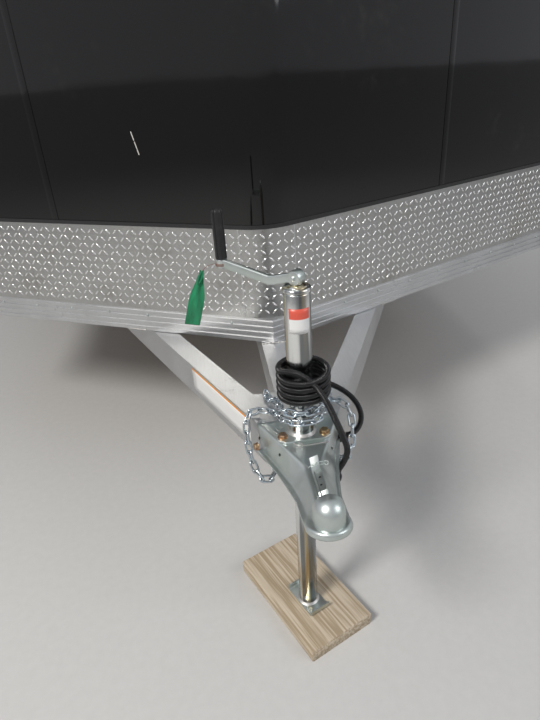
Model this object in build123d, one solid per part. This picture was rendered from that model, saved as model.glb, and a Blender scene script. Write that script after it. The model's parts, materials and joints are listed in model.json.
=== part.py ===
"""Enclosed V-nose snowmobile trailer, parked on its tongue jack.

Millimetres. X is across with the driver's side at +X, Y runs back from the coupler, Z is up from the ground.
The origin is on the ground, under the middle of the whole trailer.
"""
import os
from math import atan2, cos, degrees, pi, radians, sin, tan

from build123d import *

# Box and nose
BOX_WIDTH = 2565.0
BOX_LENGTH = 3658.0
NOSE_DEPTH = 645.0
INSIDE_HEIGHT = 1676.0
WALL_THICKNESS = 40.0
SKIN_INSET = 8.0
ROOF_THICKNESS = 50.0
ROOF_CROWN = 28.0
CORNER_TANGENT = 75.0

GUARD_HEIGHT = 278.0
GUARD_THICKNESS = 3.0

# Frame under the box
FRAME_Z = 616.0
RAIL_HEIGHT = 77.0
RAIL_DEPTH = 48.0
RAIL_WALL = 4.0
RIB_PROUD = 4.0
RIB_HEIGHT = 10.0
RIB_COUNT = 4
DECK_THICKNESS = 19.0
CROSS_WIDTH = 38.0
CROSS_SPACING = 400.0
FIRST_CROSS_BACK = 250.0
TUBE_HEIGHT = 101.6
TUBE_WIDTH = 60.0
TUBE_WALL = 4.8
BEAM_X = 870.0
CENTRE_BEAM_WIDTH = 76.0

# Tongue
TONGUE_ANGLE = radians(25.0)
TONGUE_APEX_AHEAD = 154.0
NOSE_TO_JACK = 480.0
RAIL_START_BACK = 32.0

# Coupler, measured from the jack's axis
COUPLER_WALL = 4.0
COUPLER_BACK = 56.0
KINK_AHEAD = 122.0
RIDGE_HALF = 17.0
HOLLOW_AHEAD = 240.0
LIP_AHEAD = 325.0
LIP_HALF = 47.0
LIP_ARC_AHEAD = 280.0
LIP_REAR_Z = 537.5
LIP_SLOPE = 0.156
LIP_THICKNESS = 5.0
LIP_PROUD = 7.0
DOME_AHEAD = 290.0
DOME_RADIUS = 32.0
DOME_Z = 640.0
LATCH_AHEAD = 236.0
LATCH_HALF = 5.5
LATCH_PIN = 3.0
LATCH_FIT = 0.3
BALL_RADIUS = 25.4
SOCKET_CLEARANCE = 0.6

# Gussets behind the coupler
GUSSET_THICKNESS = 6.0
GUSSET_BACK = 195.0

# Safety chains
CHAIN_WIRE = 6.0
CHAIN_PITCH = 26.0
CHAIN_GAP = 0.8
CHAIN_HALF_WIDTH = 10.5

# Wiring loom, its coil round the jack and its plug
LOOM_RADIUS = 7.4
COIL_X = 6.0
COIL_AHEAD = 8.0
COIL_MEAN = 53.5
COIL_LOW = 738.0
COIL_HIGH = 792.0
COIL_START = 133.0
COIL_START_Z = 732.0
COIL_END = -170.0
COIL_END_Z = 798.0
STUB_TURN = 70.0
PLUG_RADIUS = 19.0
PLUG_LENGTH = 62.0
PLUG_COLLAR = 22.0
PLUG_NECK = 11.0
GROMMET_RADIUS = 14.0
GROMMET_THICKNESS = 6.0
GROMMET_BACK = 74.0
GROMMET_Z = 535.0

# Jack
JACK_TUBE_RADIUS = 28.575
JACK_TUBE_LOW = 425.0
JACK_TUBE_TOP = 962.0
JACK_CAP_RADIUS = 30.5
JACK_CAP_HEIGHT = 26.0
JACK_FLANGE_THICKNESS = 6.0
LEG_RADIUS = 25.4
LEG_FIT = 0.4
LEG_WALL = 3.0
LEG_OVERLAP = 200.0
SCREW_HEAD_RADIUS = 9.0
BOARD_THICKNESS = 40.0
BOARD_LENGTH = 362.0
BOARD_WIDTH = 200.0
BOARD_TURN = 25.2
BOARD_X = -8.0
BOARD_BACK = 41.0
FOOT_PLATE = 5.0
FOOT_LENGTH = 112.0
FOOT_WIDTH = 62.0
FOOT_LIP = 18.0
CRANK_Z = 1003.0
CRANK_OUT_X = -143.0
CRANK_OUT_Y = 145.0
CRANK_BAR = 10.0
CRANK_DROP = 16.0
CRANK_ELBOW = 0.33
HUB_RADIUS = 13.0
HUB_REACH = 11.0
GRIP_RADIUS = 13.0
GRIP_HEIGHT = 108.0
GRIP_PIN = 6.0
GRIP_FIT = 0.3
RIBBON_WIDTH = 37.0
RIBBON_LENGTH = 132.0
RIBBON_TOP = (-188.0, 149.0, 983.0)
RIBBON_END = (-227.0, 153.0, 855.0)

# Running gear
TYRE_RADIUS = 260.35
TYRE_WIDTH = 203.0
TYRE_FACETS = 40
RIM_RADIUS = 134.0
WHEEL_X = 1085.0
AXLE_RADIUS = 30.0
AXLE_STUB = 120.0
SPINDLE_RADIUS = 17.0
SPINDLE_FIT = 0.4
SPRING_WIDTH = 44.5
SPRING_SPAN = 635.0
SPRING_LEAF = 7.0
SPRING_EYE_Z = 400.0
EYE_RADIUS = 15.0
PIN_RADIUS = 7.0
PIN_FIT = 0.4
AXLE_FROM_SHOULDER = 2120.0

# Rear
RAMP_THICKNESS = 50.0
RAMP_GAP = 6.0
HEADER_HEIGHT = 86.0
POST_WIDTH = 75.0
SILL_DEPTH = 50.0
HINGE_BEHIND_SILL = 24.0
HINGE_RADIUS = 6.0
KNUCKLE_PLAY = 0.15
REAR_PROUD = 23.0
LOCK_FROM_POST = 130.0
LOCK_BAR_RADIUS = 9.0
LOCK_FOOT_LOW = 120.0
LOCK_FOOT_SHARE = 0.48
LOCK_FOOT_TOP = 150.0
LOCK_HANDLE_SHARE = 0.35
LOCK_HANDLE_REACH = 280.0
TAIL_LIGHT_HALF = 26.0
TAIL_LIGHT_LOW = 150.0
TAIL_LIGHT_HEIGHT = 160.0
TAIL_LIGHT_DEPTH = 22.0
MARKER_PITCH = 180.0

# Number plate's bracket
PLATE_X = 650.0
PLATE_HALF = 152.0
PLATE_HOLES = 177.8
PLATE_HOLE_RADIUS = 3.5
PLATE_HOLE_Z = 594.0

# Roof vent
VENT_Y = 400.0
VENT_HALF = 178.0
VENT_CURB = 12.0
VENT_HEIGHT = 28.0
VENT_OVERHANG = 10.0
VENT_LID = 24.0

# Side door
DOOR_WIDTH = 762.0
DOOR_HEIGHT = 1450.0
DOOR_FROM_SHOULDER = 300.0
DOOR_SILL = 45.0
DOOR_GAP = 6.0
DOOR_HINGE_RADIUS = 4.7
DOOR_HINGE_INSET = 4.0
SIDE_LATCH_SHARE = 0.43

# Places worked out from the sizes above
HALF = BOX_WIDTH / 2
NOSE_ANGLE = atan2(HALF, NOSE_DEPTH)
OVERALL = LIP_AHEAD + NOSE_TO_JACK + NOSE_DEPTH + BOX_LENGTH + REAR_PROUD
LIP_Y = -OVERALL / 2
JACK_Y = LIP_Y + LIP_AHEAD
NOSE_Y = JACK_Y + NOSE_TO_JACK
SHOULDER_Y = NOSE_Y + NOSE_DEPTH
REAR_Y = SHOULDER_Y + BOX_LENGTH
FLOOR_Z = FRAME_Z + RAIL_HEIGHT
WALL_TOP = FLOOR_Z + INSIDE_HEIGHT
ROOF_TOP = WALL_TOP + ROOF_THICKNESS + ROOF_CROWN
WALL_INSET = SKIN_INSET + WALL_THICKNESS
TUBE_LOW = FRAME_Z - TUBE_HEIGHT
APEX_Y = JACK_Y - TONGUE_APEX_AHEAD
AXLE_Y = SHOULDER_Y + AXLE_FROM_SHOULDER
HINGE_Y = REAR_Y - RAMP_THICKNESS - 2.0
HINGE_Z = FLOOR_Z - 3.0
SILL_BACK = HINGE_Y - HINGE_BEHIND_SILL
SILL_FRONT = SILL_BACK - SILL_DEPTH
HEADER_Z = WALL_TOP - HEADER_HEIGHT
RAMP_OPENING_HEIGHT = HEADER_Z - FLOOR_Z
COUPLER_TOP = FRAME_Z + COUPLER_WALL
LATCH_Z = COUPLER_TOP + 12.0
FLANGE_TOP = COUPLER_TOP + JACK_FLANGE_THICKNESS
COIL_Y = JACK_Y - COIL_AHEAD
DOOR_Y0 = SHOULDER_Y + DOOR_FROM_SHOULDER
DOOR_Y1 = DOOR_Y0 + DOOR_WIDTH
DOOR_Z0 = FLOOR_Z + DOOR_SILL
DOOR_Z1 = DOOR_Z0 + DOOR_HEIGHT


def block(x0, x1, y0, y1, z0, z1):
    """A box between two corners."""
    centre = ((x0 + x1) / 2, (y0 + y1) / 2, (z0 + z1) / 2)
    return Pos(*centre) * Box(abs(x1 - x0), abs(y1 - y0), abs(z1 - z0))


def prism(points, low, high):
    """A plan outline carried straight up from one height to another."""
    face = make_face(Polyline(*[(x, y, low) for x, y in points], close=True))
    return extrude(face, amount=high - low, dir=(0, 0, 1))


def rod(start, end, radius):
    """A round bar between two points."""
    line = Line(start, end)
    plane = Plane(origin=start, z_dir=Vector(*end) - Vector(*start))
    return extrude(plane * Circle(radius), amount=line.length)


def flip(shape):
    """The same piece on the other side of the trailer."""
    return mirror(shape, about=Plane.YZ)


def one(shape):
    """A plain solid or compound from the result of an operation."""
    solids = shape.solids()
    return solids[0] if len(solids) == 1 else Compound(children=list(solids))


def nose_point(distance, inset):
    """A plan point along the driver's side of the nose, set in from its outer plane."""
    x = distance * sin(NOSE_ANGLE) - inset * cos(NOSE_ANGLE)
    y = NOSE_Y + distance * cos(NOSE_ANGLE) + inset * sin(NOSE_ANGLE)
    return x, y


def nose_start(inset):
    """Distance along the nose at which an inset line meets the centre plane."""
    return inset / tan(NOSE_ANGLE)


def nose_end(inset):
    """Distance along the nose at which an inset line meets the inset side."""
    return (HALF - inset + inset * cos(NOSE_ANGLE)) / sin(NOSE_ANGLE)


def outline(inset, rear):
    """The box's plan, set in all round, from the nose to a rear line."""
    tip = nose_point(nose_start(inset), inset)
    right = nose_point(nose_end(inset), inset)
    return [tip, right, (right[0], rear), (-right[0], rear), (-right[0], right[1])]


def bend(inset):
    """Where a line set in from the nose leaves the rounded corner, and the foremost point of its arc."""
    outer_radius = CORNER_TANGENT * tan(NOSE_ANGLE)
    radius = outer_radius + SKIN_INSET - inset
    distance = (outer_radius + SKIN_INSET) / tan(NOSE_ANGLE)
    centre_y = NOSE_Y + (outer_radius + SKIN_INSET) / sin(NOSE_ANGLE)
    return distance, (0, centre_y - radius)


def raised(points, height):
    return [(x, y, height) for x, y in points]


def bent_edges(inset, height):
    """The nose in plan at one inset, from shoulder to shoulder round the corner, as line, arc, line."""
    distance, foremost = bend(inset)
    shoulder = nose_point(nose_end(inset), inset)
    tangent = nose_point(distance, inset)
    plan = raised([(-shoulder[0], shoulder[1]), (-tangent[0], tangent[1]), foremost, tangent, shoulder], height)
    return [Line(plan[0], plan[1]).edge(), ThreePointArc(plan[1], plan[2], plan[3]).edge(),
            Line(plan[3], plan[4]).edge()]


def box_slab(inset, rear, low, high):
    """The whole box in plan with its rounded nose, set in all round, carried up from low to high."""
    shoulder = nose_point(nose_end(inset), inset)
    back = raised([shoulder, (shoulder[0], rear), (-shoulder[0], rear), (-shoulder[0], shoulder[1])], low)
    face = make_face([*bent_edges(inset, low), *Polyline(*back).edges()])
    return extrude(face, amount=high - low, dir=(0, 0, 1))


def nose_strip(near, far, low, high, start=None):
    """A layer along the driver's side of the nose, mitred at the shoulder and at the centre or cut at start."""
    first = start if start is not None else nose_start(near)
    second = start if start is not None else nose_start(far)
    points = [nose_point(first, near), nose_point(nose_end(near), near), nose_point(nose_end(far), far),
              nose_point(second, far)]
    return prism(points, low, high)


def side_strip(near, far, low, high, rear):
    """A layer along the driver's side of the box, mitred at the shoulder."""
    near_corner = nose_point(nose_end(near), near)
    far_corner = nose_point(nose_end(far), far)
    points = [near_corner, (near_corner[0], rear), (far_corner[0], rear), far_corner]
    return prism(points, low, high)


def rail_layers():
    """The bottom rail's section as layers: near inset, far inset, low height, high height."""
    pitch = RAIL_HEIGHT / RIB_COUNT
    layers = [(RIB_PROUD, RIB_PROUD + RAIL_WALL, FRAME_Z, FLOOR_Z),
              (RIB_PROUD, RAIL_DEPTH, FLOOR_Z - RAIL_WALL, FLOOR_Z),
              (RIB_PROUD, RAIL_DEPTH, FRAME_Z, FRAME_Z + RAIL_WALL),
              (RAIL_DEPTH - RAIL_WALL, RAIL_DEPTH, FRAME_Z, FLOOR_Z)]
    for rib in range(RIB_COUNT):
        low = FRAME_Z + (rib + 0.5) * pitch - RIB_HEIGHT / 2
        layers.append((0.0, RIB_PROUD, low, low + RIB_HEIGHT))
    return layers


# Frame
def make_front_bottom_rail():
    parts = [nose_strip(*layer) for layer in rail_layers()]
    half = parts[0].fuse(*parts[1:])
    return one(half.fuse(flip(half)))


def make_side_bottom_rails():
    parts = [side_strip(*layer, SILL_FRONT) for layer in rail_layers()]
    rail = one(parts[0].fuse(*parts[1:]))
    return Compound(children=[rail, flip(rail)])


def tube(width, height, length, wall):
    """A rectangular tube along Y, its outer face on X zero and its top on Z zero."""
    outer = block(-width, 0, 0, length, -height, 0)
    inner = block(wall - width, -wall, -1, length + 1, wall - height, -wall)
    return outer - inner


def make_tongue_rail():
    run = (BEAM_X + TUBE_WIDTH) / sin(TONGUE_ANGLE)
    rail = Pos(0, APEX_Y, FRAME_Z) * Rot(0, 0, -degrees(TONGUE_ANGLE)) * tube(TUBE_WIDTH, TUBE_HEIGHT, run, TUBE_WALL)
    keep = block(0, BEAM_X - TUBE_WIDTH / 2, JACK_Y + RAIL_START_BACK, REAR_Y, 0, FLOOR_Z)
    return one(rail & keep)


def make_main_beams():
    start = APEX_Y + (BEAM_X - TUBE_WIDTH / 2) / tan(TONGUE_ANGLE) - 6.0
    beam = Pos(BEAM_X + TUBE_WIDTH / 2, start, FRAME_Z) * tube(TUBE_WIDTH, TUBE_HEIGHT, SILL_BACK - start, TUBE_WALL)
    return Compound(children=[one(beam), flip(one(beam))])


def cross_places():
    """How far back each crossmember stands."""
    places = []
    y = NOSE_Y + FIRST_CROSS_BACK
    while y < SILL_FRONT - CROSS_SPACING / 2:
        places.append(y)
        y += CROSS_SPACING
    return places


def make_centre_beam():
    inner_at_jack = TONGUE_APEX_AHEAD * tan(TONGUE_ANGLE) - TUBE_WIDTH / cos(TONGUE_ANGLE)
    start = JACK_Y + (CENTRE_BEAM_WIDTH / 2 - inner_at_jack) / tan(TONGUE_ANGLE)
    end = cross_places()[2] + CROSS_WIDTH / 2
    beam = tube(CENTRE_BEAM_WIDTH, TUBE_HEIGHT, end - start, TUBE_WALL)
    return one(Pos(CENTRE_BEAM_WIDTH / 2, start, FRAME_Z) * beam)


def make_crossmembers():
    inside = prism(outline(RAIL_DEPTH, SILL_FRONT), FRAME_Z, FLOOR_Z - DECK_THICKNESS)
    members = []
    for y in cross_places():
        bar = block(-HALF, HALF, y - CROSS_WIDTH / 2, y + CROSS_WIDTH / 2, FRAME_Z, FLOOR_Z - DECK_THICKNESS)
        members.append(one(bar & inside))
    return Compound(children=members)


def make_floor_deck():
    return one(box_slab(RAIL_DEPTH, SILL_FRONT, FLOOR_Z - DECK_THICKNESS, FLOOR_Z))


def hinge_places():
    """Start and end of each fixed hinge knuckle, with the moving ones in between."""
    width = 2 * (HALF - POST_WIDTH - 60)
    count = 9
    length = width / count
    return [(-width / 2 + i * length, -width / 2 + (i + 1) * length) for i in range(count)]


def make_rear_sill():
    sill = block(-HALF, HALF, SILL_FRONT, SILL_BACK, FRAME_Z, FLOOR_Z)
    parts = []
    for start, end in hinge_places()[::2]:
        first, last = start + KNUCKLE_PLAY, end - KNUCKLE_PLAY
        parts.append(rod((first, HINGE_Y, HINGE_Z), (last, HINGE_Y, HINGE_Z), HINGE_RADIUS))
        parts.append(block(first, last, SILL_BACK, HINGE_Y, HINGE_Z - 5, HINGE_Z))
    return one(sill.fuse(*parts))


# Box
def make_nose_wall():
    return one(nose_strip(SKIN_INSET, WALL_INSET, FLOOR_Z, WALL_TOP, start=bend(SKIN_INSET)[0]))


def make_nose_corner_post():
    """The rounded corner between the two nose walls, as thick as they are."""
    distance, outer_mid = bend(SKIN_INSET)
    inner_mid = bend(WALL_INSET)[1]
    outer = nose_point(distance, SKIN_INSET)
    inner = nose_point(distance, WALL_INSET)
    plan = raised([(-outer[0], outer[1]), outer_mid, outer, inner, inner_mid, (-inner[0], inner[1])], FLOOR_Z)
    face = make_face([ThreePointArc(plan[0], plan[1], plan[2]).edge(), Line(plan[2], plan[3]).edge(),
                      ThreePointArc(plan[3], plan[4], plan[5]).edge(), Line(plan[5], plan[0]).edge()])
    return one(extrude(face, amount=INSIDE_HEIGHT, dir=(0, 0, 1)))


def make_side_wall():
    return one(side_strip(SKIN_INSET, WALL_INSET, FLOOR_Z, WALL_TOP, SILL_FRONT))


def make_door_wall():
    gap = DOOR_GAP
    doorway = block(-HALF - 10, -HALF + 100, DOOR_Y0 - gap, DOOR_Y1 + gap, DOOR_Z0 - gap, DOOR_Z1 + gap)
    return one(flip(make_side_wall()) - doorway)


def make_roof():
    """A slab with the plan of the box, its top a shallow arch across the width, with the vent's hole."""
    slab = box_slab(SKIN_INSET, REAR_Y, WALL_TOP, ROOF_TOP)
    eaves = WALL_TOP + ROOF_THICKNESS
    below = WALL_TOP - 10
    arch = ThreePointArc((-HALF, LIP_Y, eaves), (0, LIP_Y, ROOF_TOP), (HALF, LIP_Y, eaves))
    rest = Polyline((HALF, LIP_Y, eaves), (HALF, LIP_Y, below), (-HALF, LIP_Y, below), (-HALF, LIP_Y, eaves))
    under = extrude(make_face([arch.edge(), *rest.edges()]), amount=OVERALL, dir=(0, 1, 0))
    hole = block(-VENT_HALF, VENT_HALF, VENT_Y - VENT_HALF, VENT_Y + VENT_HALF, below, ROOF_TOP + 10)
    return one((slab & under) - hole)


def make_roof_edge_trim():
    low = WALL_TOP - 45
    high = WALL_TOP + ROOF_THICKNESS - 6
    ring = box_slab(0.0, REAR_Y, low, high) - box_slab(SKIN_INSET, REAR_Y + 1, low - 1, high + 1)
    return one(ring - block(-HALF - 1, HALF + 1, SILL_FRONT, REAR_Y + 1, low - 1, high + 1))


def make_rear_frame():
    post = block(HALF - POST_WIDTH, HALF, SILL_FRONT, REAR_Y, FLOOR_Z, WALL_TOP)
    header = block(-HALF + POST_WIDTH, HALF - POST_WIDTH, SILL_FRONT, REAR_Y, HEADER_Z, WALL_TOP)
    return one(header.fuse(post, flip(post)))


def make_stone_guard():
    """A sheet bent round the nose, from shoulder to shoulder."""
    near = SKIN_INSET - GUARD_THICKNESS
    ends = [Line(*raised([nose_point(nose_end(inset), inset) for inset in (near, SKIN_INSET)], FLOOR_Z)).edge()]
    ends.append(mirror(ends[0], about=Plane.YZ))
    face = make_face([*bent_edges(near, FLOOR_Z), *bent_edges(SKIN_INSET, FLOOR_Z), *ends])
    return one(extrude(face, amount=GUARD_HEIGHT, dir=(0, 0, 1)))


def make_roof_vent_base():
    """A square curb round the roof's hole, fitted to the arch of the roof."""
    reach = VENT_HALF + VENT_CURB
    high = ROOF_TOP + VENT_HEIGHT
    outer = block(-reach, reach, VENT_Y - reach, VENT_Y + reach, ROOF_TOP - 5, high)
    inner = block(-VENT_HALF, VENT_HALF, VENT_Y - VENT_HALF, VENT_Y + VENT_HALF, ROOF_TOP - 10, high + 10)
    return one(outer - inner - make_roof())


def make_roof_vent_lid():
    """A shallow dished lid that overhangs the curb."""
    reach = VENT_HALF + VENT_CURB + VENT_OVERHANG
    low = ROOF_TOP + VENT_HEIGHT + 0.3
    lid = block(-reach, reach, VENT_Y - reach, VENT_Y + reach, low, low + VENT_LID)
    edges = lid.edges().group_by(Axis.Z)[-1]
    return one(chamfer(edges, VENT_LID * 0.6))


# Coupler and tongue fittings
def tongue_half(y):
    """Half the width over the tongue rails' outer faces at a place measured back from the jack."""
    return (y + TONGUE_APEX_AHEAD) * tan(TONGUE_ANGLE)


def coupler_half(y, offset):
    return tongue_half(y) + offset / cos(TONGUE_ANGLE)


# Coupler's stations: place behind the jack's axis, half width over the lip
COUPLER_STATIONS = [
    (COUPLER_BACK, 105.0),
    (-60.0, 74.0),
    (-KINK_AHEAD, 60.0),
    (-190.0, 48.0),
    (-262.0, LIP_HALF),
]


def lip_z(y):
    """Height of the lip's underside, which climbs towards the nose."""
    return LIP_REAR_Z + (COUPLER_BACK - y) * LIP_SLOPE


def lip_half(y):
    """Half width over the lip at any place, straight between the stations."""
    for (rear, wide), (front, narrow) in zip(COUPLER_STATIONS, COUPLER_STATIONS[1:]):
        if y >= front:
            return narrow + (wide - narrow) * (min(y, rear) - front) / (rear - front)
    return LIP_HALF


def coupler_section(y, wall, top, below):
    """The pressed shell across the trailer at one place, set in by a wall, down to below the lip's underside."""
    upper = max(coupler_half(y, COUPLER_WALL) - wall / cos(TONGUE_ANGLE), RIDGE_HALF - wall)
    lower = lip_half(y) - LIP_PROUD - wall / cos(TONGUE_ANGLE)
    low = lip_z(y) - below
    corners = [(upper, top), (lower, low), (-lower, low), (-upper, top)]
    return make_face(Polyline(*[(x, JACK_Y + y, z) for x, z in corners], close=True))


def on_lip(x, y):
    return x, JACK_Y + y, lip_z(y)


def make_coupler():
    """A pressed A-shaped coupler: flared skirts on the rails, a ridge, a domed nose and a turned-out lip."""
    shell = loft([coupler_section(y, 0, COUPLER_TOP, 0) for y, half in COUPLER_STATIONS], ruled=True)
    edge = [on_lip(-LIP_HALF, -LIP_ARC_AHEAD)] + [on_lip(-half, y) for y, half in reversed(COUPLER_STATIONS)]
    edge += [on_lip(half, y) for y, half in COUPLER_STATIONS] + [on_lip(LIP_HALF, -LIP_ARC_AHEAD)]
    tip = ThreePointArc(on_lip(LIP_HALF, -LIP_ARC_AHEAD), on_lip(0, -LIP_AHEAD), on_lip(-LIP_HALF, -LIP_ARC_AHEAD))
    lip = extrude(make_face([*Polyline(*edge).edges(), tip.edge()]), amount=LIP_THICKNESS, dir=(0, 0, 1))
    reach = LIP_AHEAD + 50
    corners = [on_lip(-reach, COUPLER_BACK), on_lip(reach, COUPLER_BACK), on_lip(reach, -reach), on_lip(-reach, -reach)]
    above = extrude(make_face(Polyline(*corners, close=True)), amount=reach, dir=(0, 0, 1))
    dome_y = JACK_Y - DOME_AHEAD
    column = rod((0, dome_y, LIP_REAR_Z), (0, dome_y, DOME_Z), DOME_RADIUS)
    dome = column.fuse(Pos(0, dome_y, DOME_Z) * Sphere(DOME_RADIUS)) & above
    lug_y = JACK_Y - LATCH_AHEAD
    lugs = [block(side * LATCH_HALF, side * (LATCH_HALF + 4), lug_y - 8, lug_y + 8, COUPLER_TOP - 2, LATCH_Z + 7)
            for side in (-1, 1)]
    outer = shell.fuse(lip, dome, *lugs)
    places = [COUPLER_BACK + 1, -60.0, COUPLER_WALL - KINK_AHEAD, -190.0, -HOLLOW_AHEAD]
    hollow = loft([coupler_section(y, COUPLER_WALL, FRAME_Z, 2.0) for y in places], ruled=True)
    reach = BALL_RADIUS + SOCKET_CLEARANCE
    socket = Pos(0, dome_y, DOME_Z) * Sphere(reach)
    mouth = rod((0, dome_y, LIP_REAR_Z - 10), (0, dome_y, DOME_Z), reach)
    jack_hole = rod((0, JACK_Y, FRAME_Z - 60), (0, JACK_Y, COUPLER_TOP + 30), JACK_TUBE_RADIUS + LEG_FIT)
    pin_hole = rod((-30, lug_y, LATCH_Z), (30, lug_y, LATCH_Z), LATCH_PIN + LATCH_FIT)
    return one(outer - hollow - socket - mouth - jack_hole - pin_hole)


def rail_inside(y):
    """How far from the centre the tongue rails' inner faces stand at a place behind the jack."""
    return tongue_half(y) - TUBE_WIDTH / cos(TONGUE_ANGLE)


def make_tongue_gussets():
    """Flat plates between the centre beam and the rails, level with their tops."""
    half = CENTRE_BEAM_WIDTH / 2
    front = (half - rail_inside(0)) / tan(TONGUE_ANGLE)
    plan = [(half, JACK_Y + front), (rail_inside(GUSSET_BACK), JACK_Y + GUSSET_BACK), (half, JACK_Y + GUSSET_BACK)]
    plate = one(prism(plan, FRAME_Z - GUSSET_THICKNESS, FRAME_Z))
    return Compound(children=[plate, flip(plate)])


def make_coupler_latch():
    """The latch lever along the top of the nose, its pin in the coupler's two lugs."""
    pivot_y = JACK_Y - LATCH_AHEAD
    half = LATCH_HALF - 0.5
    lever = block(-half, half, pivot_y - 5, pivot_y + 95, LATCH_Z - 7, LATCH_Z + 7)
    tab = block(-half - 8, half + 8, pivot_y + 82, pivot_y + 104, LATCH_Z + 3, LATCH_Z + 10)
    pin = rod((-LATCH_HALF - 8, pivot_y, LATCH_Z), (LATCH_HALF + 8, pivot_y, LATCH_Z), LATCH_PIN)
    return one(lever.fuse(tab, pin))


# Jack
def make_jack_tube():
    outer = Pos(0, JACK_Y, JACK_TUBE_LOW) * Cylinder(JACK_TUBE_RADIUS, JACK_TUBE_TOP - JACK_TUBE_LOW, align=(
        Align.CENTER, Align.CENTER, Align.MIN))
    bore = Pos(0, JACK_Y, JACK_TUBE_LOW - 1) * Cylinder(LEG_RADIUS + LEG_FIT, JACK_TUBE_TOP - JACK_TUBE_LOW - 5, align=(
        Align.CENTER, Align.CENTER, Align.MIN))
    cap = Pos(0, JACK_Y, JACK_TUBE_TOP) * Cylinder(JACK_CAP_RADIUS, JACK_CAP_HEIGHT, align=(
        Align.CENTER, Align.CENTER, Align.MIN))
    cap = chamfer(cap.edges().group_by(Axis.Z)[-1], 7)
    right = [(46, -42), (62, -30), (62, -8), (18, 54)]
    plan = right + [(-x, y) for x, y in reversed(right)]
    flange = prism([(x, JACK_Y + y) for x, y in plan], COUPLER_TOP, FLANGE_TOP)
    return one(outer.fuse(cap, flange) - bore)


def make_jack_leg():
    low = BOARD_THICKNESS + FOOT_PLATE
    high = JACK_TUBE_LOW + LEG_OVERLAP
    leg = Pos(0, JACK_Y, low) * Cylinder(LEG_RADIUS, high - low, align=(Align.CENTER, Align.CENTER, Align.MIN))
    bore = Pos(0, JACK_Y, low + 2) * Cylinder(LEG_RADIUS - LEG_WALL, high - low, align=(
        Align.CENTER, Align.CENTER, Align.MIN))
    return one(leg - bore)


def make_jack_foot():
    low = BOARD_THICKNESS
    plate = block(-FOOT_WIDTH / 2, FOOT_WIDTH / 2, -FOOT_LENGTH / 2, FOOT_LENGTH / 2, low, low + FOOT_PLATE)
    ends = [block(-FOOT_WIDTH / 2, FOOT_WIDTH / 2, side * FOOT_LENGTH / 2 - side * FOOT_PLATE, side * FOOT_LENGTH / 2,
                  low, low + FOOT_LIP) for side in (-1, 1)]
    foot = plate.fuse(*ends)
    return one(Pos(0, JACK_Y, 0) * Rot(0, 0, BOARD_TURN) * foot)


def make_support_board():
    board = Rot(0, 0, BOARD_TURN) * Box(BOARD_WIDTH, BOARD_LENGTH, BOARD_THICKNESS)
    return one(Pos(BOARD_X, JACK_Y + BOARD_BACK, BOARD_THICKNESS / 2) * board)


def make_crank_arm():
    """A crosswise hub on the screw's head, a cranked bar that dips and climbs, and the grip's pin."""
    base = JACK_TUBE_TOP + JACK_CAP_HEIGHT
    spindle = rod((0, JACK_Y, base), (0, JACK_Y, CRANK_Z + 4), SCREW_HEAD_RADIUS)
    aside = HUB_REACH * cos(radians(45))
    hub = rod((-aside, JACK_Y - aside, CRANK_Z), (aside, JACK_Y + aside, CRANK_Z), HUB_RADIUS)
    elbow = (CRANK_OUT_X * CRANK_ELBOW, JACK_Y + CRANK_OUT_Y * CRANK_ELBOW, CRANK_Z - CRANK_DROP)
    end = (CRANK_OUT_X, JACK_Y + CRANK_OUT_Y, CRANK_Z)
    first = rod((0, JACK_Y, CRANK_Z), elbow, CRANK_BAR / 2 + 1)
    second = rod(elbow, end, CRANK_BAR / 2 + 1)
    joint = Pos(*elbow) * Sphere(CRANK_BAR / 2 + 1)
    seat = rod((end[0], end[1], CRANK_Z - 7), (end[0], end[1], CRANK_Z + 7), GRIP_RADIUS - 2)
    pin = rod(end, (end[0], end[1], CRANK_Z + GRIP_HEIGHT - 12), GRIP_PIN)
    return one(spindle.fuse(hub, first, second, joint, seat, pin))


def make_crank_grip():
    base = (CRANK_OUT_X, JACK_Y + CRANK_OUT_Y, CRANK_Z + 7 + GRIP_FIT)
    top = (base[0], base[1], base[2] + GRIP_HEIGHT)
    grip = rod(base, top, GRIP_RADIUS)
    grip = chamfer(grip.edges().group_by(Axis.Z)[-1], 3)
    bore = rod((base[0], base[1], CRANK_Z), (base[0], base[1], CRANK_Z + GRIP_HEIGHT - 11), GRIP_PIN + GRIP_FIT)
    return one(grip - bore)


def make_crank_ribbon():
    """A strip of tape blown a little to the side, on the thread that ties it under the grip."""
    top = Vector(RIBBON_TOP[0], JACK_Y + RIBBON_TOP[1], RIBBON_TOP[2])
    end = Vector(RIBBON_END[0], JACK_Y + RIBBON_END[1], RIBBON_END[2])
    fall = (end - top).normalized()
    across = fall.cross(Vector(0, 1, 0)).normalized()
    plane = Plane(origin=top + fall * (RIBBON_LENGTH / 2), x_dir=across, z_dir=fall.cross(across))
    strip = extrude(plane * Rectangle(RIBBON_WIDTH, RIBBON_LENGTH), amount=1.0, both=True)
    reach = GRIP_RADIUS - 2 + GRIP_FIT
    tie = Vector(CRANK_OUT_X - reach - 0.7, JACK_Y + CRANK_OUT_Y, CRANK_Z - 4)
    thread = rod(tuple(tie), tuple(top + fall * 4), 1.5)
    return one(strip.fuse(thread))


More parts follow.
